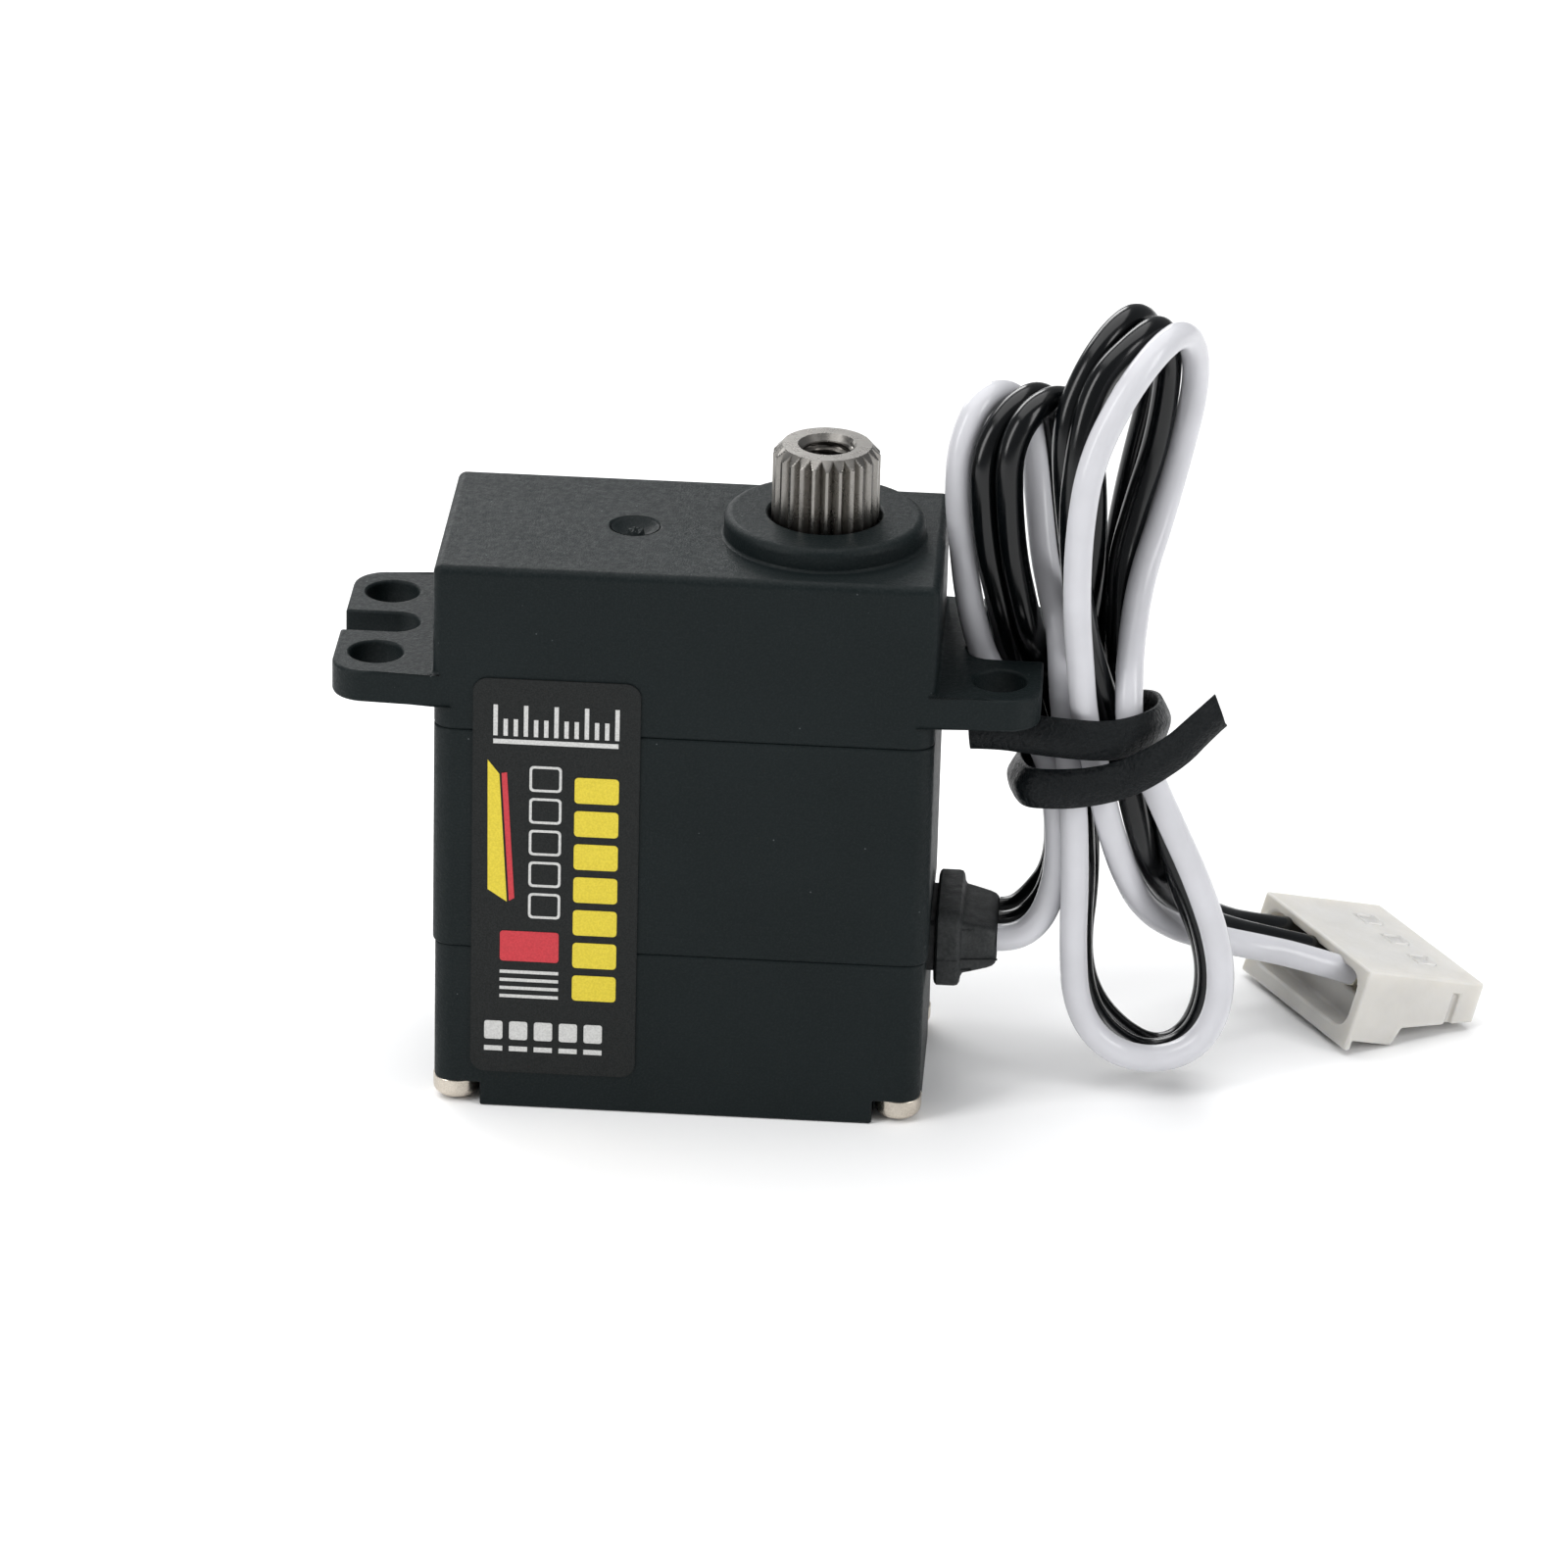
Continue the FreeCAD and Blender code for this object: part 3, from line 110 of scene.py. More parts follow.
# Most of a noise texture's values lie between these two
NOISE_LOW = 0.3
NOISE_HIGH = 0.7
EVEN = (1.0, 1.0, 1.0)
LINES_ALONG_Z = (1.0, 1.0, 0.06)


class Graph:
    """A Principled material with helpers that add its nodes."""

    def __init__(self, name, **uniform):
        self.material = bpy.data.materials.new(name)
        self.material.use_nodes = True
        self.tree = self.material.node_tree
        self.shader = self.tree.nodes["Principled BSDF"]
        for key, value in uniform.items():
            self.set(SOCKETS[key], value)
        self.place = self.add("ShaderNodeTexCoord").outputs["Object"]

    def set(self, socket, value):
        self.shader.inputs[socket].default_value = value

    def add(self, kind, **settings):
        node = self.tree.nodes.new(kind)
        for key, value in settings.items():
            setattr(node, key, value)
        return node

    def link(self, source, target):
        self.tree.links.new(source, target)

    def stretched(self, scale):
        """The object's own coordinates, scaled along each axis."""
        node = self.add("ShaderNodeMapping")
        node.inputs["Scale"].default_value = scale
        self.link(self.place, node.inputs["Vector"])
        return node.outputs["Vector"]

    def noise(self, grain, detail=3.0, vector=None, roughness=0.5):
        """Cloudy noise whose features are about grain millimetres across."""
        node = self.add("ShaderNodeTexNoise")
        node.inputs["Scale"].default_value = 1 / (grain * MM)
        node.inputs["Detail"].default_value = detail
        node.inputs["Roughness"].default_value = roughness
        self.link(vector or self.place, node.inputs["Vector"])
        return node.outputs["Fac"]

    def cells(self, grain):
        """The distance to the middle of the nearest cell, each about grain millimetres across."""
        node = self.add("ShaderNodeTexVoronoi")
        node.inputs["Scale"].default_value = 1 / (grain * MM)
        self.link(self.place, node.inputs["Vector"])
        return node.outputs["Distance"]

    def ranged(self, value, low, high, to_low, to_high):
        node = self.add("ShaderNodeMapRange")
        limits = {"From Min": low, "From Max": high, "To Min": to_low, "To Max": to_high}
        for key, number in limits.items():
            node.inputs[key].default_value = number
        self.link(value, node.inputs["Value"])
        return node.outputs["Result"]

    def combined(self, first, second, operation):
        node = self.add("ShaderNodeMath", operation=operation)
        for number, value in enumerate((first, second)):
            if isinstance(value, (int, float)):
                node.inputs[number].default_value = value
            else:
                self.link(value, node.inputs[number])
        return node.outputs["Value"]

    def blended(self, factor, first, second):
        """A colour between two colours, each a triple or another node's output."""
        node = self.add("ShaderNodeMix", data_type="RGBA")
        self.link(factor, node.inputs["Factor"])
        for key, value in (("A", first), ("B", second)):
            socket = next(s for s in node.inputs if s.name == key and s.type == "RGBA")
            if isinstance(value, tuple):
                socket.default_value = (*value, 1)
            else:
                self.link(value, socket)
        return next(s for s in node.outputs if s.type == "RGBA")

    def colour(self, value):
        self.link(value, self.shader.inputs["Base Color"])

    def mottled(self, value, low, high, dark, light):
        """Base colour from dark to light as the value goes from low to high."""
        self.colour(self.blended(self.ranged(value, low, high, 0, 1), dark, light))

    def rough(self, value, low, high):
        """Roughness from low to high over a noise's usual values."""
        self.link(self.ranged(value, NOISE_LOW, NOISE_HIGH, low, high), self.shader.inputs["Roughness"])

    def bump(self, *layers):
        """Bumps from (height, depth in millimetres) pairs, one on another."""
        last = None
        for height, depth in layers:
            node = self.add("ShaderNodeBump")
            node.inputs["Distance"].default_value = depth * MM
            self.link(height, node.inputs["Height"])
            if last:
                self.link(last, node.inputs["Normal"])
            last = node.outputs["Normal"]
        self.link(last, self.shader.inputs["Normal"])


def case_plastic():
    g = Graph("case_plastic", specular=0.145)
    fine = g.noise(0.10, 2)
    speck = g.cells(1.1)
    cloud = g.ranged(g.noise(6, 3), NOISE_LOW, NOISE_HIGH, 0, 1)
    base = g.blended(cloud, (0.0030, 0.0062, 0.0066), (0.0045, 0.0082, 0.0088))
    grainy = g.blended(g.ranged(fine, 0.45, 0.75, 0, 0.5), base, (0.014, 0.018, 0.019))
    g.colour(g.blended(g.ranged(speck, 0.02, 0.042, 0.7, 0), grainy, (0.10, 0.11, 0.115)))
    g.rough(g.noise(0.25, 2), 0.46, 0.60)
    g.bump((fine, 0.022), (g.noise(1.8, 2), 0.012))
    return g.material


def gland_rubber():
    g = Graph("gland_rubber", specular=0.45)
    fine = g.noise(0.12, 3)
    g.mottled(fine, 0.35, 0.7, (0.006, 0.0080, 0.0085), (0.018, 0.020, 0.0205))
    g.rough(g.noise(0.5, 2), 0.55, 0.72)
    g.bump((fine, 0.018), (g.noise(0.9, 3), 0.03))
    return g.material


def tie_rubber():
    g = Graph("tie_rubber", specular=0.17)
    fine = g.noise(0.08, 4, roughness=0.65)
    scratch = g.noise(0.10, 2, g.stretched((1.0, 1.0, 0.18)))
    g.mottled(fine, 0.35, 0.7, (0.0010, 0.0020, 0.0026), (0.0042, 0.0064, 0.0076))
    g.rough(g.noise(0.5, 3), 0.28, 0.46)
    g.bump((fine, 0.03), (g.ranged(scratch, 0.6, 0.75, 0, 1), 0.02), (g.noise(0.22, 4), 0.14))
    return g.material


def wire_insulation(name, shade, light, specular):
    g = Graph(name, specular=specular)
    smear = g.noise(2.5, 3)
    g.mottled(smear, NOISE_LOW, NOISE_HIGH, shade, light)
    g.rough(g.noise(0.9, 3), 0.16, 0.24)
    g.bump((g.noise(1.6, 2), 0.006))
    return g.material


def metal(name, dark, light, rough_low, rough_high, grain=EVEN, depth=0.006):
    """Bare metal. A small share in the grain draws its noise out into lines along that axis."""
    g = Graph(name, metallic=1.0)
    lines = g.noise(0.05, 3, g.stretched(grain))
    cloud = g.noise(0.8, 3)
    both = g.combined(g.combined(lines, 0.6, "MULTIPLY"), g.combined(cloud, 0.4, "MULTIPLY"), "ADD")
    g.mottled(both, 0.38, 0.62, dark, light)
    g.rough(cloud, rough_low, rough_high)
    g.bump((lines, depth))
    return g.material


def connector_nylon():
    g = Graph("connector_nylon", specular=0.3, subsurface=0.45)
    g.set("Subsurface Radius", (1.0, 0.9, 0.7))
    g.set("Subsurface Scale", 0.0016)
    cloud = g.noise(1.6, 3)
    g.mottled(cloud, NOISE_LOW, NOISE_HIGH, (0.56, 0.545, 0.515), (0.61, 0.595, 0.565))
    g.rough(g.noise(0.3, 2), 0.38, 0.5)
    g.bump((g.noise(0.2, 3), 0.006), (cloud, 0.02))
    return g.material


def label_film():
    g = Graph("label_film", specular=0.15)
    fine = g.noise(0.06, 3)
    g.mottled(fine, 0.35, 0.7, (0.0064, 0.0076, 0.0076), (0.0155, 0.0170, 0.0168))
    g.rough(g.noise(0.4, 3), 0.36, 0.48)
    g.bump((fine, 0.004), (g.noise(3.0, 2), 0.012))
    return g.material


def ink(name, shade, light):
    g = Graph(name, specular=0.5)
    dots = g.noise(0.09, 3)
    g.mottled(dots, 0.35, 0.65, shade, light)
    g.rough(g.noise(0.3, 2), 0.34, 0.46)
    g.bump((dots, 0.004))
    return g.material


def moulded(name, dark, light, low, high, grain=0.15):
    g = Graph(name, specular=0.45)
    fine = g.noise(grain, 3)
    g.mottled(fine, NOISE_LOW, NOISE_HIGH, dark, light)
    g.rough(g.noise(grain * 3, 2), low, high)
    g.bump((fine, 0.01))
    return g.material


def floor_paper():
    g = Graph("floor_paper", specular=0.2)
    g.colour(g.blended(g.noise(30, 3), (0.94, 0.94, 0.94), (0.96, 0.96, 0.96)))
    g.rough(g.noise(8, 2), 0.75, 0.85)
    g.bump((g.noise(1.5, 3), 0.01))
    return g.material


# ---------------------------------------------------------------- mesh helpers

WELD = 0.002
SAME_PLACE = 0.0005
FLAT_ANGLE = math.radians(0.4)

def mesh_from(name, bm, material):
    """A mesh in metres from a bmesh in millimetres."""
    mesh = bpy.data.meshes.new(name)
    bm.to_mesh(mesh)
    bm.free()
    mesh.transform(Matrix.Scale(MM, 4))
    mesh.materials.append(material)
    return mesh


def make_floor():
    bm = bmesh.new()
    bmesh.ops.create_grid(bm, x_segments=8, y_segments=8, size=FLOOR_SIZE)
    floor = linked("floor", mesh_from("floor", bm, floor_paper()))
    floor.location.z = -FLOOR_GAP * MM


def new_piece(name, bm, material, replaces=(), body="case", smooth=None):
    """A mesh piece that rides on a body."""
    bmesh.ops.recalc_face_normals(bm, faces=bm.faces)
    mesh = mesh_from(name, bm, material)
    if smooth is not None:
        mesh.shade_smooth()
        mesh.set_sharp_from_angle(angle=math.radians(smooth))
    return place_piece(name, mesh, replaces, body)


def place_piece(name, data, replaces=(), body="case"):
    obj = linked(name, data)
    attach(obj, body)
    if replaces:
        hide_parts(*replaces)
    return obj


def bevel(obj, width, segments=2, angle=35):
    mod = obj.modifiers.new("rounding", "BEVEL")
    mod.width = width * MM
    mod.segments = segments
    mod.limit_method = "ANGLE"
    mod.angle_limit = math.radians(angle)
    mod.use_clamp_overlap = False
    obj.modifiers.new("evened_normals", "WEIGHTED_NORMAL").keep_sharp = True


def refined(node, name, material, width):
    """A copy of a CAD node with its triangles joined up and its sharp edges rounded."""
    bm = bmesh.new()
    bm.from_mesh(NODES[node].data)
    bmesh.ops.scale(bm, vec=(1 / MM,) * 3, verts=bm.verts)
    bmesh.ops.remove_doubles(bm, verts=bm.verts, dist=WELD)
    bmesh.ops.dissolve_limit(bm, angle_limit=FLAT_ANGLE, verts=bm.verts, edges=bm.edges)
    bevel(new_piece(name, bm, material, (node,), smooth=30), width)


def ring(bm, points):
    return [bm.verts.new(p) for p in points]


def bridge(bm, first, second):
    count = len(first)
    for i in range(count):
        j = (i + 1) % count
        bm.faces.new((first[i], first[j], second[j], second[i]))


def loop_edges(bm, verts):
    """The edges round a closed loop of vertices, made where they are missing."""
    pairs = zip(verts, verts[1:] + verts[:1])
    return [bm.edges.get(pair) or bm.edges.new(pair) for pair in pairs]


def loft(bm, rings, capped=True):
    """A tube through rings of points, closed at its start and, if capped, at its end."""
    rows = [ring(bm, points) for points in rings]
    for first, second in zip(rows, rows[1:]):
        bridge(bm, first, second)
    bm.faces.new(rows[0][::-1])
    if capped:
        bm.faces.new(rows[-1])
    return rows


def rounded_rectangle(half_a, half_b, radius, steps=5):
    """Points of a rectangle with round corners, anticlockwise from its right side."""
    points = []
    for quarter, (sa, sb) in enumerate(((1, 1), (-1, 1), (-1, -1), (1, -1))):
        for step in range(steps + 1):
            turn = (quarter + step / steps) * math.pi / 2
            points.append((sa * (half_a - radius) + radius * math.cos(turn),
                           sb * (half_b - radius) + radius * math.sin(turn)))
    return points


def plate(bm, outline, y_back, y_front, holes=()):
    """A flat plate in the XZ plane from an outline and holes, all lists of (x, z)."""
    loops = [outline, *holes]
    for y in (y_front, y_back):
        edges = []
        for loop in loops:
            edges += loop_edges(bm, ring(bm, [(x, y, z) for x, z in loop]))
        bmesh.ops.triangle_fill(bm, edges=edges, use_beauty=True, use_dissolve=True)
    for loop in loops:
        front = ring(bm, [(x, y_front, z) for x, z in loop])
        back = ring(bm, [(x, y_back, z) for x, z in loop])
        bridge(bm, front, back)
    bmesh.ops.remove_doubles(bm, verts=bm.verts, dist=SAME_PLACE)


# ---------------------------------------------------------------- cords

# Each wire's route: out of the gland, up over the low loop, round the loop below the tie,
# over the high loop and out to the connector
ROUTES = {
    "signal": [
        (14.75, -1.5, 7.9), (15.4, -1.5, 7.9), (16.4, -1.35, 8.4), (17.1, -1.2, 9.6), (17.5, -1.0, 11.7),
        (17.3, -1.0, 14.7), (16.8, -0.9, 17.2), (15.2, -0.6, 19.3), (13.7, 0.3, 21.2), (13.2, 0.4, 22.6),
        (12.7, 0.6, 24.6), (12.4, 0.8, 26.8), (12.1, 0.8, 29.2), (12.1, 0.9, 31.6), (12.8, 1.8, 33.5),
        (14.0, 3.3, 33.7), (15.1, 4.4, 32.3), (15.5, 4.4, 30.1), (15.8, 3.8, 27.7), (16.2, 2.3, 25.4),
        (17.1, 0.4, 22.9), (17.3, -1.0, 20.5), (17.7, -1.7, 17.9), (18.1, -2.0, 15.0), (18.3, -2.0, 11.3),
        (18.3, -1.8, 7.8), (18.6, -1.6, 4.5), (20.0, -1.5, 2.4), (22.2, -1.4, 1.7), (24.3, -1.4, 2.5),
        (25.4, -1.3, 4.6), (25.3, -1.3, 7.6), (24.1, -1.4, 11.1), (22.7, -1.7, 14.2), (21.5, -1.9, 16.9),
        (20.5, -2.1, 19.1), (20.4, -1.4, 21.0), (20.4, 0.2, 22.6), (20.7, 2.7, 24.7), (21.5, 4.4, 27.1),
        (22.2, 5.5, 29.9), (22.8, 5.4, 33.0), (22.8, 4.2, 35.7), (22.1, 2.3, 37.4), (20.9, 0.3, 37.0),
        (19.5, -1.0, 35.2), (18.2, -1.9, 32.4), (17.8, -2.4, 29.2), (17.8, -2.4, 25.4), (18.1, -2.3, 22.4),
        (18.4, -2.3, 19.6), (19.1, -2.1, 17.0), (19.7, -1.6, 14.2), (20.5, -0.7, 11.4), (21.5, 0.8, 8.8),
        (23.1, 2.4, 7.0), (25.2, 4.1, 5.7), (27.2, 5.3, 4.8), (29.2, 5.8, 4.2), (31.8, 6.7, 3.05),
    ],
    "positive": [
        (14.75, 0.0, 7.9), (15.4, 0.0, 7.9), (16.4, 0.2, 8.5), (17.2, 0.4, 9.8), (17.5, 0.7, 12.0),
        (17.1, 0.8, 14.9), (16.3, 1.0, 17.4), (15.6, 1.0, 19.5), (14.8, 0.9, 21.4), (14.5, 0.8, 22.8),
        (14.1, 0.5, 24.7), (13.6, 0.2, 26.8), (13.3, 0.1, 29.2), (13.2, 0.2, 31.6), (14.2, 1.2, 33.4),
        (15.5, 3.0, 33.8), (16.4, 4.4, 32.5), (16.8, 4.5, 30.0), (17.1, 4.0, 27.3), (17.4, 3.1, 24.6),
        (17.6, 2.0, 21.7), (17.4, 0.9, 19.4), (17.6, 0.3, 17.1), (18.3, 0.0, 14.6), (18.6, -0.2, 11.1),
        (18.5, -0.2, 7.6), (18.8, -0.2, 4.6), (20.0, -0.2, 2.5), (21.9, -0.1, 1.4), (23.8, -0.1, 2.0),
        (24.8, -0.1, 3.8), (25.0, 0.0, 6.2), (24.2, 0.0, 9.2), (22.9, 0.0, 11.8), (21.9, 0.0, 14.5),
        (20.8, 0.0, 17.0), (20.0, 0.7, 19.5), (19.8, 2.0, 22.2), (19.7, 3.5, 25.1), (20.3, 4.5, 27.7),
        (21.1, 5.2, 30.4), (21.5, 5.3, 33.4), (21.5, 4.5, 35.9), (21.0, 3.1, 37.3), (19.9, 1.3, 37.0),
        (18.3, 0.1, 35.6), (17.6, -0.8, 32.7), (17.4, -1.1, 29.1), (17.8, -0.9, 24.9), (18.7, -0.7, 21.7),
        (19.8, -0.9, 18.9), (20.5, -1.2, 16.4), (21.1, -0.9, 13.8), (21.7, 0.5, 11.2), (22.3, 2.4, 9.2),
        (23.2, 4.2, 7.4), (24.6, 5.6, 5.9), (26.1, 6.7, 4.9), (27.8, 7.5, 4.2), (30.5, 8.8, 3.05),
    ],
    "negative": [
        (14.75, 1.5, 7.9), (15.4, 1.5, 7.9), (16.3, 1.7, 8.7), (17.2, 1.9, 10.0), (17.4, 2.0, 12.0),
        (16.9, 2.2, 15.3), (16.3, 2.4, 18.1), (16.3, 2.2, 20.3), (16.1, 0.9, 21.8), (15.7, 0.3, 22.8),
        (15.3, -0.1, 24.6), (14.8, -0.3, 26.8), (14.5, -0.5, 29.5), (14.4, -0.4, 32.0), (15.2, 0.3, 33.8),
        (16.6, 2.2, 34.0), (17.7, 3.9, 32.3), (18.2, 4.5, 29.7), (18.4, 4.2, 26.9), (18.4, 3.9, 24.2),
        (18.1, 3.3, 21.2), (17.8, 2.5, 18.7), (17.9, 2.0, 16.2), (18.6, 1.6, 13.5), (18.8, 1.4, 9.8),
        (18.5, 1.3, 6.5), (19.0, 1.3, 4.0), (20.5, 1.2, 2.1), (22.4, 1.1, 1.1), (24.0, 1.2, 1.9),
        (24.8, 1.3, 4.0), (24.7, 1.3, 6.6), (23.4, 1.2, 9.7), (22.2, 1.2, 12.4), (21.2, 1.2, 14.7),
        (20.5, 1.2, 16.8), (19.8, 2.1, 18.6), (19.4, 3.4, 20.5), (19.3, 4.6, 23.1), (19.6, 5.7, 26.0),
        (20.1, 6.4, 29.1), (20.8, 6.6, 32.5), (20.9, 5.9, 35.5), (20.1, 4.4, 37.4), (19.0, 2.6, 37.2),
        (17.8, 1.2, 35.7), (16.9, 0.4, 33.3), (17.1, 0.1, 30.0), (17.7, 0.4, 25.8), (18.4, 0.6, 22.2),
        (18.7, 1.0, 19.0), (19.2, 1.6, 16.7), (20.6, 2.4, 14.8), (21.4, 3.2, 12.1), (21.8, 3.9, 9.9),
        (22.7, 5.3, 7.7), (24.0, 6.8, 6.1), (25.2, 8.0, 5.0), (26.6, 9.2, 4.1), (29.3, 11.0, 3.05),
    ],
}
WIRE_RADIUS = 0.65


def nurbs_curve(name, route, scale=1.0):
    """A curve of one open NURBS spline with a route's points as its control points."""
    data = bpy.data.curves.new(name, "CURVE")
    data.dimensions = "3D"
    spline = data.splines.new("NURBS")
    spline.points.add(len(route) - 1)
    for point, spot in zip(spline.points, route):
        point.co = (*(Vector(spot) * scale), 1)
    spline.order_u = 3
    spline.use_endpoint_u = True
    return data


def make_wire(word, material):
    """One wire of the lead, a round tube along its route in place of the CAD wire and hank."""
    route = ROUTES[word]
    data = nurbs_curve(word + "_wire", route, MM)
    data.bevel_depth = WIRE_RADIUS * MM
    data.bevel_resolution = 6
    data.resolution_u = 10
    data.use_fill_caps = True
    data.materials.append(material)
    wire = place_piece(word + "_wire", data, (word + "_wire_lead", word + "_wire_tail", "cord_hank"))


# The strap's route: from its cut end under the ear, behind the bundle, and out to the front. Its free end
# narrows by the taper's share of the width over the last quarter and is cut slanted by twice the lean.
TIE_ROUTE = [
    (13.1, -3.1, 19.2), (14.4, -3.2, 19.3), (16.0, -3.4, 19.2), (17.7, -3.5, 19.1), (19.3, -3.4, 19.0),
    (20.5, -3.3, 19.2), (21.6, -2.7, 19.4), (22.2, -0.6, 19.0), (21.9, 1.8, 18.6), (20.6, 3.4, 17.8),
    (18.2, 3.6, 16.5), (16.0, 2.9, 15.3), (15.1, 1.2, 15.4), (15.3, -1.2, 16.0), (15.8, -3.2, 16.4),
    (17.1, -3.5, 16.5), (18.6, -3.6, 16.7), (20.1, -3.8, 17.2), (21.5, -4.3, 18.2), (22.8, -4.4, 19.2),
    (23.7, -4.3, 20.2), (24.7, -4.1, 21.2),
]
TIE_WIDTH = 1.95
TIE_THICKNESS = 0.66
TIE_END_LEAN = 0.35
TIE_END_TAPER = 0.22


def smooth_path(route):
    """Points read from the NURBS spline that a route controls."""
    data = nurbs_curve("path", route)
    data.resolution_u = 8
    line = bpy.data.objects.new("path", data)
    read = bpy.data.meshes.new_from_object(line)
    path = [v.co.copy() for v in read.vertices]
    bpy.data.objects.remove(line)
    bpy.data.curves.remove(data)
    bpy.data.meshes.remove(read)
    return path


def make_tie(material):
    """A flat strap with a crowned outer face, wound round the bundle."""
    path = smooth_path(TIE_ROUTE)
    last = len(path) - 1
    # Shares of half the width and of half the thickness, from the inner face round the strap
    section = [(-0.90, -1), (0.90, -1), (0.99, -0.9), (1.0, -0.6), (0.97, -0.3), (0.60, 0.32), (0.25, 0.83),
               (0.10, 0.98), (-0.05, 1.0), (-0.25, 0.93), (-0.62, 0.62), (-0.95, 0.1), (-1.0, -0.3),
               (-0.98, -0.9)]
    bm = bmesh.new()
    rings = []
    for number, spot in enumerate(path):
        along = (path[min(number + 1, last)] - path[max(number - 1, 0)]).normalized()
        upward = (UP - along * UP.dot(along)).normalized()
        outward = along.cross(upward) * TIE_THICKNESS / 2
        tapered = TIE_END_TAPER * max(0, 4 * number / last - 3)
        across = upward * TIE_WIDTH / 2 * (1 - tapered)
        if number == last:
            across += along * TIE_END_LEAN
        rings.append([spot + across * a + outward * b for a, b in section])
    loft(bm, rings)
    strap = new_piece("cord_tie_strap", bm, material, ("cord_tie",), smooth=50)
    bevel(strap, 0.05, 2, 50)
    return strap


# ---------------------------------------------------------------- connector

# From the housing's own axes (X across it, Y up out of its top face, Z from the wires to its mouth)
CONNECTOR_PLACE = (Matrix.Translation((32.56, 4.27, 4.32)) @ Matrix.Rotation(math.radians(120.5), 4, "Z")
                   @ Matrix.Rotation(math.radians(107), 4, "X"))
CONNECTOR_WIDTH = 9.9
CONTACT_PITCH = 2.5
CONTACT_SPOTS = [CONNECTOR_WIDTH / 2 + side * CONTACT_PITCH for side in (-1, 0, 1)]


def block(bm, low, high):
    made = bmesh.ops.create_cube(bm, size=1)["verts"]
    low = Vector(low)
    high = Vector(high)
    bmesh.ops.scale(bm, vec=high - low, verts=made)
    bmesh.ops.translate(bm, vec=(high + low) / 2, verts=made)


def temporary_solid(bm):
    bmesh.ops.recalc_face_normals(bm, faces=bm.faces)
    mesh = bpy.data.meshes.new("temporary")
    bm.to_mesh(mesh)
    bm.free()
    return linked("temporary", mesh)


def with_cuts(bm, builds):
    """The solid in bm less the solid that each function builds, as a new bmesh."""
    host = temporary_solid(bm)
    tools = []
    for build in builds:
        tool = bmesh.new()
        build(tool)
        tools.append(temporary_solid(tool))
        mod = host.modifiers.new("cut", "BOOLEAN")
        mod.object = tools[-1]
        mod.operation = "DIFFERENCE"
        mod.solver = "EXACT"
    result = bmesh.new()
    result.from_mesh(host.evaluated_get(bpy.context.evaluated_depsgraph_get()).to_mesh())
    for obj in (host, *tools):
        bpy.data.objects.remove(obj)
    return result


def make_housing(nylon):
    """Housing with a stepped underside, a recess for the wires, three contact bays and latch windows."""
    side = [(0, 0), (6.9, 0), (6.9, -2.05), (2.94, -2.76), (2.63, -3.7), (0.35, -3.7), (0.35, -4.2),
            (0, -4.2)]
    bm = bmesh.new()
    loft(bm, [[(x, y, z) for z, y in side] for x in (0, CONNECTOR_WIDTH)])

    def rear_recess(target):
        outline = rounded_rectangle(4.3, 1.42, 0.85)
        loft(target, [[(CONNECTOR_WIDTH / 2 + a, -1.95 + b, z) for a, b in outline] for z in (-0.5, 1.3)])

    def bays(target):
        outline = rounded_rectangle(0.92, 0.85, 0.25)
        for x in CONTACT_SPOTS:
            loft(target, [[(x + a, -1.15 + b, z) for a, b in outline] for z in (1.2, 7.5)])

    def windows(target):
        for x in CONTACT_SPOTS:
            block(target, (x - 0.55, -0.09, 4.15), (x + 0.55, 0.3, 5.25))

    def nose_guides(target):
        for x in (-0.3, CONNECTOR_WIDTH + 0.3):
            block(target, (x - 0.5, -2.6, 5.3), (x + 0.5, -0.7, 5.65))

    solid = with_cuts(bm, [rear_recess, bays, windows, nose_guides])
    bmesh.ops.transform(solid, matrix=CONNECTOR_PLACE, verts=solid.verts)
    housing = new_piece("connector_shell", solid, nylon, ("connector_housing",), smooth=30)
    bevel(housing, 0.14, 3, 30)
    return housing


def make_contacts(tin):
    """In each bay a square box with an open front, and behind it a round crimp and a pair of wings."""
    outer = rounded_rectangle(0.62, 0.62, 0.12, 3)
    inner = rounded_rectangle(0.5, 0.5, 0.1, 3)
    walls = [(outer, 2.2), (outer, 6.0), (inner, 6.0), (inner, 3.0)]
    crimp = [(0.66 * math.cos(t * math.pi / 8), 0.62 * math.sin(t * math.pi / 8)) for t in range(16)]
    wings = [(0.45, 0.4), (0.62, 0.2), (0.66, -0.3), (0.3, -0.62), (-0.3, -0.62), (-0.66, -0.3),
             (-0.62, 0.2), (-0.45, 0.4)]
    bm = bmesh.new()
    for x in CONTACT_SPOTS:
        loft(bm, [[(x + a, -1.12 + b, z) for a, b in shape] for shape, z in walls])
        loft(bm, [[(x + a, -1.05 + b, z) for a, b in crimp] for z in (0.75, 1.9)])
        loft(bm, [[(x + a * k, -1.1 + b * k, z) for a, b in wings] for z, k in ((1.85, 0.7), (2.3, 0.8))])
    bmesh.ops.transform(bm, matrix=CONNECTOR_PLACE, verts=bm.verts)
    return new_piece("crimp_contacts", bm, tin, ("connector_contacts",), smooth=35)


# ---------------------------------------------------------------- gland

GLAND_MIDDLE = 7.6
PARTING_LOW = 7.06
PARTING_HIGH = 7.12


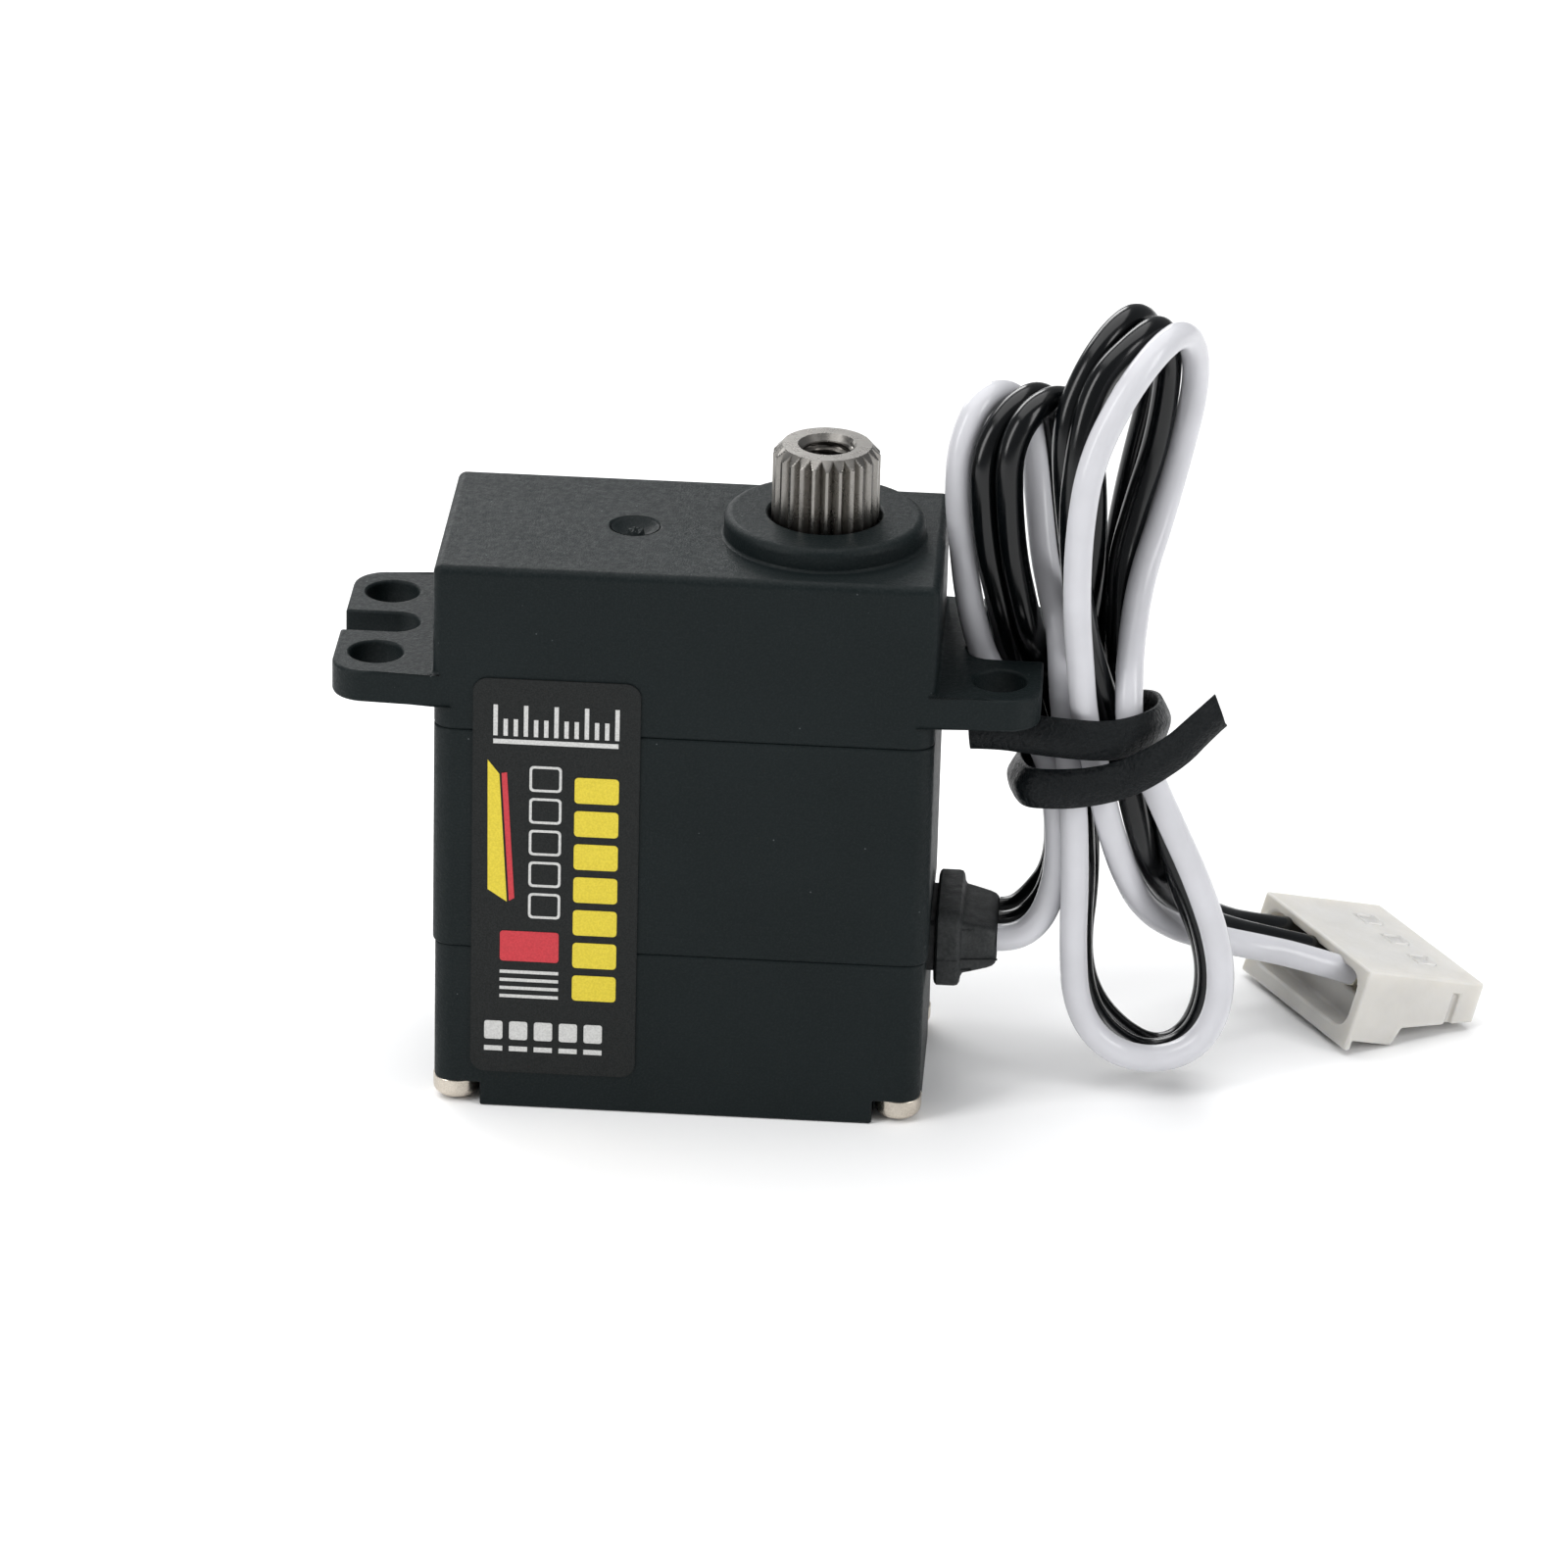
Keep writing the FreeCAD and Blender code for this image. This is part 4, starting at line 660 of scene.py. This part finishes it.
def make_gland(material):
    """Moulded strain relief: neck in the wall, rounded flange and tapered nose with a parting line."""
    # X, half the depth, half the height and the corners' radius
    profile = [
        (11.20, 2.30, 1.30, 0.25), (11.80, 2.30, 1.30, 0.25), (11.82, 2.44, 1.70, 0.35),
        (11.87, 2.60, 1.86, 0.42), (11.97, 2.70, 1.95, 0.48), (12.80, 2.70, 1.95, 0.48),
        (12.96, 2.66, 1.91, 0.46), (13.05, 2.54, 1.78, 0.42), (13.09, 2.46, 1.50, 0.35),
        (13.18, 2.43, 1.34, 0.38), (13.60, 2.40, 1.24, 0.38), (14.30, 2.30, 1.08, 0.38),
        (14.56, 2.22, 1.00, 0.38), (14.69, 2.10, 0.90, 0.34), (14.75, 1.94, 0.78, 0.30),
    ]
    bm = bmesh.new()
    loft(bm, [[(x, a, GLAND_MIDDLE + b) for a, b in rounded_rectangle(half_y, half_z, radius)]
              for x, half_y, half_z, radius in profile])
    parting_line = [(11.98, 2.72), (12.9, 2.72), (13.05, 2.55), (14.6, 2.36), (14.8, 2.30)]
    root_line = [(13.1, 2.48), (13.6, 2.44)]
    flashes = [(parting_line, 0, PARTING_LOW, PARTING_HIGH)]
    flashes += [(root_line, 0.015, z - 0.02, z + 0.02) for z in (8.62, 6.55)]
    for line, proud, low, high in flashes:
        section = [(-0.1, low), (proud, low), (proud, high), (-0.1, high)]
        for side in (-1, 1):
            loft(bm, [[(x, side * (y + out), z) for out, z in section] for x, y in line])
    new_piece("strain_relief", bm, material, ("cable_gland",), smooth=40)


# ---------------------------------------------------------------- gate mark

GATE_MIDDLE = Vector((-2.8, 0, 27.4))
GATE_SIDES = 40


def make_gate_mark(material):
    """The moulding gate's dish in the roof, with the torn stub of the sprue in its middle."""
    # Radius and height over the roof
    dish = [(1.12, -0.44), (1.12, -0.03), (1.06, -0.06), (0.95, -0.16), (0.78, -0.28), (0.58, -0.36),
            (0.44, -0.40)]
    stub = [(0.38, -0.34), (0.33, -0.22), (0.22, -0.18), (0.12, -0.24), (0.05, -0.16)]
    tear = Vector((0.25, 0.25, 0.5)) * 0.35
    tears_per_mm = 9
    bm = bmesh.new()
    rings = []
    for number, (radius, height) in enumerate(dish + stub):
        points = []
        for step in range(GATE_SIDES):
            angle = step * 2 * math.pi / GATE_SIDES
            spot = Vector((radius * math.cos(angle), radius * math.sin(angle), height))
            if number >= len(dish):
                spot += tear * noise.noise(spot * tears_per_mm)
            points.append(GATE_MIDDLE + spot)
        rings.append(points)
    loft(bm, rings)
    new_piece("gate_mark", bm, material, smooth=40)


# ---------------------------------------------------------------- output shaft

SHAFT_X = 6.0
SHAFT_TOP = 31.9
SPLINE_BASE = 27.9
SPLINE_TEETH = 25
CREST = 2.49
ROOT = 2.10
CHAMFER_HEIGHT = 0.45
CHAMFER_RADIUS = ROOT - 0.03
CHAMFER_STEPS = 10
THREAD_RADIUS = 1.075
THREAD_DEPTH = 0.16
THREAD_PITCH = 0.45
GROOVE_HALF_WIDTH = 0.36 * THREAD_PITCH
THREAD_ROWS_PER_TURN = 10
HOLE_FLOOR = 26.9
RIM_DROP = 0.001
HOLE_SIDES = 60
MOUTH_RADIUS = 1.36
MOUTH_DEPTH = 0.32


def spline_outline():
    """(angle, radius) round the spline: narrow crests with a wide V groove between them."""
    pitch = 2 * math.pi / SPLINE_TEETH
    flank = [(-0.5 + 0.4 * share, ROOT + (CREST - ROOT) * share) for share in (0, 0.2, 0.4, 0.6, 0.8, 1)]
    shape = flank + [(-share, radius) for share, radius in flank[:0:-1]]
    return [((tooth + share) * pitch, radius) for tooth in range(SPLINE_TEETH) for share, radius in shape]


def round_shaft(polar, z):
    """Points at one height from (angle, radius) pairs round the shaft's axis."""
    return [(SHAFT_X + radius * math.cos(angle), radius * math.sin(angle), z) for angle, radius in polar]


def hole_row(drop):
    """(angle, radius) round the threaded hole, at a depth below the shaft's top."""
    flare = MOUTH_RADIUS - (MOUTH_RADIUS - THREAD_RADIUS) * drop / MOUTH_DEPTH
    polar = []
    for side in range(HOLE_SIDES):
        turn = side / HOLE_SIDES
        from_groove = abs((drop / THREAD_PITCH + turn) % 1 - 0.5) * THREAD_PITCH
        groove = max(0.0, 1 - from_groove / GROOVE_HALF_WIDTH) * THREAD_DEPTH
        polar.append((turn * 2 * math.pi, max(THREAD_RADIUS + groove, flare)))
    return polar


def make_output_shaft(steel, thread):
    outline = spline_outline()
    bm = bmesh.new()
    # Height and radius below the spline
    journal = [(14.2, 0.9), (14.3, 1.0), (23.0, 1.0), (23.0, 1.8), (24.9, 1.8), (24.9, 2.9), (25.2, 2.9),
               (25.2, 2.5), (27.4, 2.5), (27.4, 2.22), (27.88, 2.22)]
    rings = [round_shaft([(angle, radius) for angle, _ in outline], z) for z, radius in journal]
    rings.append(round_shaft(outline, SPLINE_BASE))
    for step in range(CHAMFER_STEPS + 1):
        share = step / CHAMFER_STEPS
        limit = CREST - (CREST - CHAMFER_RADIUS) * share
        rings.append(round_shaft([(angle, min(radius, limit)) for angle, radius in outline],
                                 SHAFT_TOP - CHAMFER_HEIGHT * (1 - share)))
    rows = loft(bm, rings, capped=False)

    mouth = [(side * 2 * math.pi / HOLE_SIDES, MOUTH_RADIUS) for side in range(HOLE_SIDES)]
    previous = ring(bm, round_shaft(mouth, SHAFT_TOP))
    bmesh.ops.triangle_fill(bm, edges=loop_edges(bm, rows[-1]) + loop_edges(bm, previous),
                            use_beauty=True, use_dissolve=True)
    turns = int((SHAFT_TOP - HOLE_FLOOR) / THREAD_PITCH)
    for row in range(turns * THREAD_ROWS_PER_TURN + 1):
        drop = row / THREAD_ROWS_PER_TURN * THREAD_PITCH
        verts = ring(bm, round_shaft(hole_row(drop), max(SHAFT_TOP - RIM_DROP - drop, HOLE_FLOOR)))
        bridge(bm, previous, verts)
        previous = verts
    bm.faces.new(previous)

    shaft = new_piece("splined_shaft", bm, steel, ("output_shaft",), "output", smooth=28)
    shaft.data.materials.append(thread)
    # The hole's own faces below its mouth get the thread's darker steel, painted shade for the inside of
    # the hole
    for face in shaft.data.polygons:
        spot = face.center / MM
        inside = math.hypot(spot.x - SHAFT_X, spot.y) < MOUTH_RADIUS - 0.1
        if inside and HOLE_FLOOR - 0.1 < spot.z < SHAFT_TOP - 0.25:
            face.material_index = 1


# ---------------------------------------------------------------- label print

LABEL_FACE = -6.08
INK_BACK = LABEL_FACE + 0.01
INK_FRONT = LABEL_FACE - 0.018


def box_outline(x_low, x_high, z_low, z_high, radius=0.0):
    if radius == 0:
        return [(x_low, z_low), (x_high, z_low), (x_high, z_high), (x_low, z_high)]
    x = (x_low + x_high) / 2
    z = (z_low + z_high) / 2
    return [(x + a, z + b) for a, b in rounded_rectangle(x_high - x, z_high - z, radius, 4)]


def print_shapes(name, material, outlines, frames=()):
    """Flat ink from outlines, and from frames, each an outline and the outline of its hole."""
    bm = bmesh.new()
    for outline in outlines:
        plate(bm, outline, INK_BACK, INK_FRONT)
    for outline, hole in frames:
        plate(bm, outline, INK_BACK, INK_FRONT, [hole])
    new_piece(name, bm, material)


def make_label_print(white, yellow, red):
    """Plain coloured shapes: a scale, two slanted bars, frames and rows of blocks."""
    whites = [box_outline(-8.75, -2.95, 18.75, 18.98)]
    for tick in range(13):
        x = -8.75 + tick * 0.4695
        whites.append(box_outline(x, x + 0.2, 19.15, 20.7 if tick % 3 == 0 else 20.0))
    for row in range(4):
        low = 5.75 + row * 0.42
        whites.append(box_outline(-8.35, -5.6, low, low + 0.16))
    for number in range(5):
        x = -9.05 + number * 1.17
        whites.append(box_outline(x, x + 0.86, 2.95, 3.2))
        whites.append(box_outline(x, x + 0.86, 3.55, 4.5, 0.12))
    lows = [9.9 + row * 1.62 for row in range(5)]
    frames = [(box_outline(-7.05, -5.55, low, low + 1.3, 0.2),
               box_outline(-6.93, -5.67, low + 0.12, low + 1.18, 0.12)) for low in lows]
    print_shapes("label_print_white", white, whites, frames)

    yellows = [[(-8.95, 11.3), (-8.05, 10.7), (-8.45, 17.2), (-9.0, 17.9)]]
    for number in range(7):
        low = 5.75 + number * 1.69
        yellows.append(box_outline(-4.95, -2.9, low, low + 1.3, 0.18))
    print_shapes("label_print_yellow", yellow, yellows)

    reds = [[(-7.95, 10.75), (-7.7, 10.9), (-8.1, 17.3), (-8.35, 17.25)],
            box_outline(-8.35, -5.6, 7.65, 9.2, 0.15)]
    print_shapes("label_print_red", red, reds)


# ---------------------------------------------------------------- the whole servo


def paint(material, *nodes):
    for node in nodes:
        data = NODES[node].data
        data.materials.clear()
        data.materials.append(material)


def make_case_and_shaft():
    plastic = case_plastic()
    for node, width in (("top_case", 0.12), ("middle_case", 0.09), ("bottom_cover", 0.09)):
        refined(node, node + "_shell", plastic, width)
    make_gate_mark(plastic)
    nickel = metal("nickel_plate", (0.50, 0.45, 0.38), (0.68, 0.62, 0.54), 0.24, 0.36)
    refined("case_screws", "pan_head_screws", nickel, 0.05)
    steel = metal("spline_steel", (0.225, 0.215, 0.20), (0.275, 0.263, 0.245), 0.25, 0.31,
                  grain=(1.0, 1.0, 0.3), depth=0.0003)
    # The thread's steel is darker than the spline's: painted shade for the inside of the threaded hole
    thread = metal("thread_painted_shade", (0.07, 0.066, 0.060), (0.15, 0.142, 0.13), 0.24, 0.36)
    make_output_shaft(steel, thread)


def make_lead():
    white = wire_insulation("wire_white", (0.55, 0.55, 0.575), (0.60, 0.60, 0.63), 0.35)
    black = wire_insulation("wire_black", (0.0012, 0.0016, 0.0020), (0.0022, 0.0029, 0.0036), 0.36)
    make_gland(gland_rubber())
    tie = make_tie(tie_rubber())
    housing = make_housing(connector_nylon())
    contacts = make_contacts(metal("tinned_contact", (0.48, 0.46, 0.36), (0.68, 0.66, 0.56), 0.25, 0.4))
    make_wire("signal", white)
    for word in ("positive", "negative"):
        make_wire(word, black)
    paint(black, "inner_wires")


def make_label():
    paint(label_film(), "front_label")
    make_label_print(ink("ink_white", (0.44, 0.44, 0.43), (0.56, 0.56, 0.545)),
                     ink("ink_yellow", (0.56, 0.44, 0.014), (0.66, 0.53, 0.025)),
                     ink("ink_red", (0.42, 0.012, 0.022), (0.52, 0.02, 0.032)))


def paint_inside():
    paint(metal("ground_steel", (0.42, 0.42, 0.42), (0.62, 0.62, 0.62), 0.2, 0.35),
          "upper_bearing_inner_ring", "upper_bearing_outer_ring", "upper_bearing_balls",
          "lower_bearing_inner_ring", "lower_bearing_outer_ring", "lower_bearing_balls",
          "gear_pin", "motor_shaft")
    paint(metal("hobbed_steel", (0.30, 0.295, 0.29), (0.5, 0.49, 0.48), 0.3, 0.42, LINES_ALONG_Z),
          "output_gear", "second_gear", "third_gear")
    paint(metal("hobbed_brass", (0.55, 0.38, 0.14), (0.75, 0.56, 0.26), 0.25, 0.4, LINES_ALONG_Z),
          "first_gear", "motor_pinion", "spindle_spacer")
    paint(metal("copper", (0.55, 0.26, 0.14), (0.75, 0.40, 0.25), 0.25, 0.4),
          "motor_commutator", "motor_terminals", "motor_brushes", "header_pins")
    paint(metal("drawn_can", (0.45, 0.45, 0.45), (0.62, 0.62, 0.62), 0.25, 0.4, LINES_ALONG_Z), "motor_can")
    paint(metal("laminations", (0.2, 0.2, 0.2), (0.4, 0.39, 0.38), 0.35, 0.5, (0.1, 0.1, 1.0)),
          "motor_armature")
    paint(moulded("ferrite", (0.02, 0.02, 0.022), (0.05, 0.05, 0.05), 0.5, 0.7),
          "motor_magnets", "encoder_magnet")
    paint(moulded("cap_nylon", (0.62, 0.6, 0.54), (0.74, 0.72, 0.66), 0.4, 0.55), "motor_end_cap")
    paint(moulded("solder_mask", (0.01, 0.09, 0.04), (0.02, 0.15, 0.07), 0.3, 0.45),
          "circuit_board", "encoder_board")
    paint(moulded("chip_package", (0.012, 0.012, 0.013), (0.025, 0.025, 0.026), 0.5, 0.65, grain=0.05),
          "microcontroller", "motor_driver", "encoder_chip")
    paint(moulded("capacitor", (0.30, 0.20, 0.12), (0.45, 0.33, 0.2), 0.35, 0.5), "board_capacitors")


make_camera()
make_lights()
make_floor()
make_case_and_shaft()
make_lead()
make_label()
paint_inside()
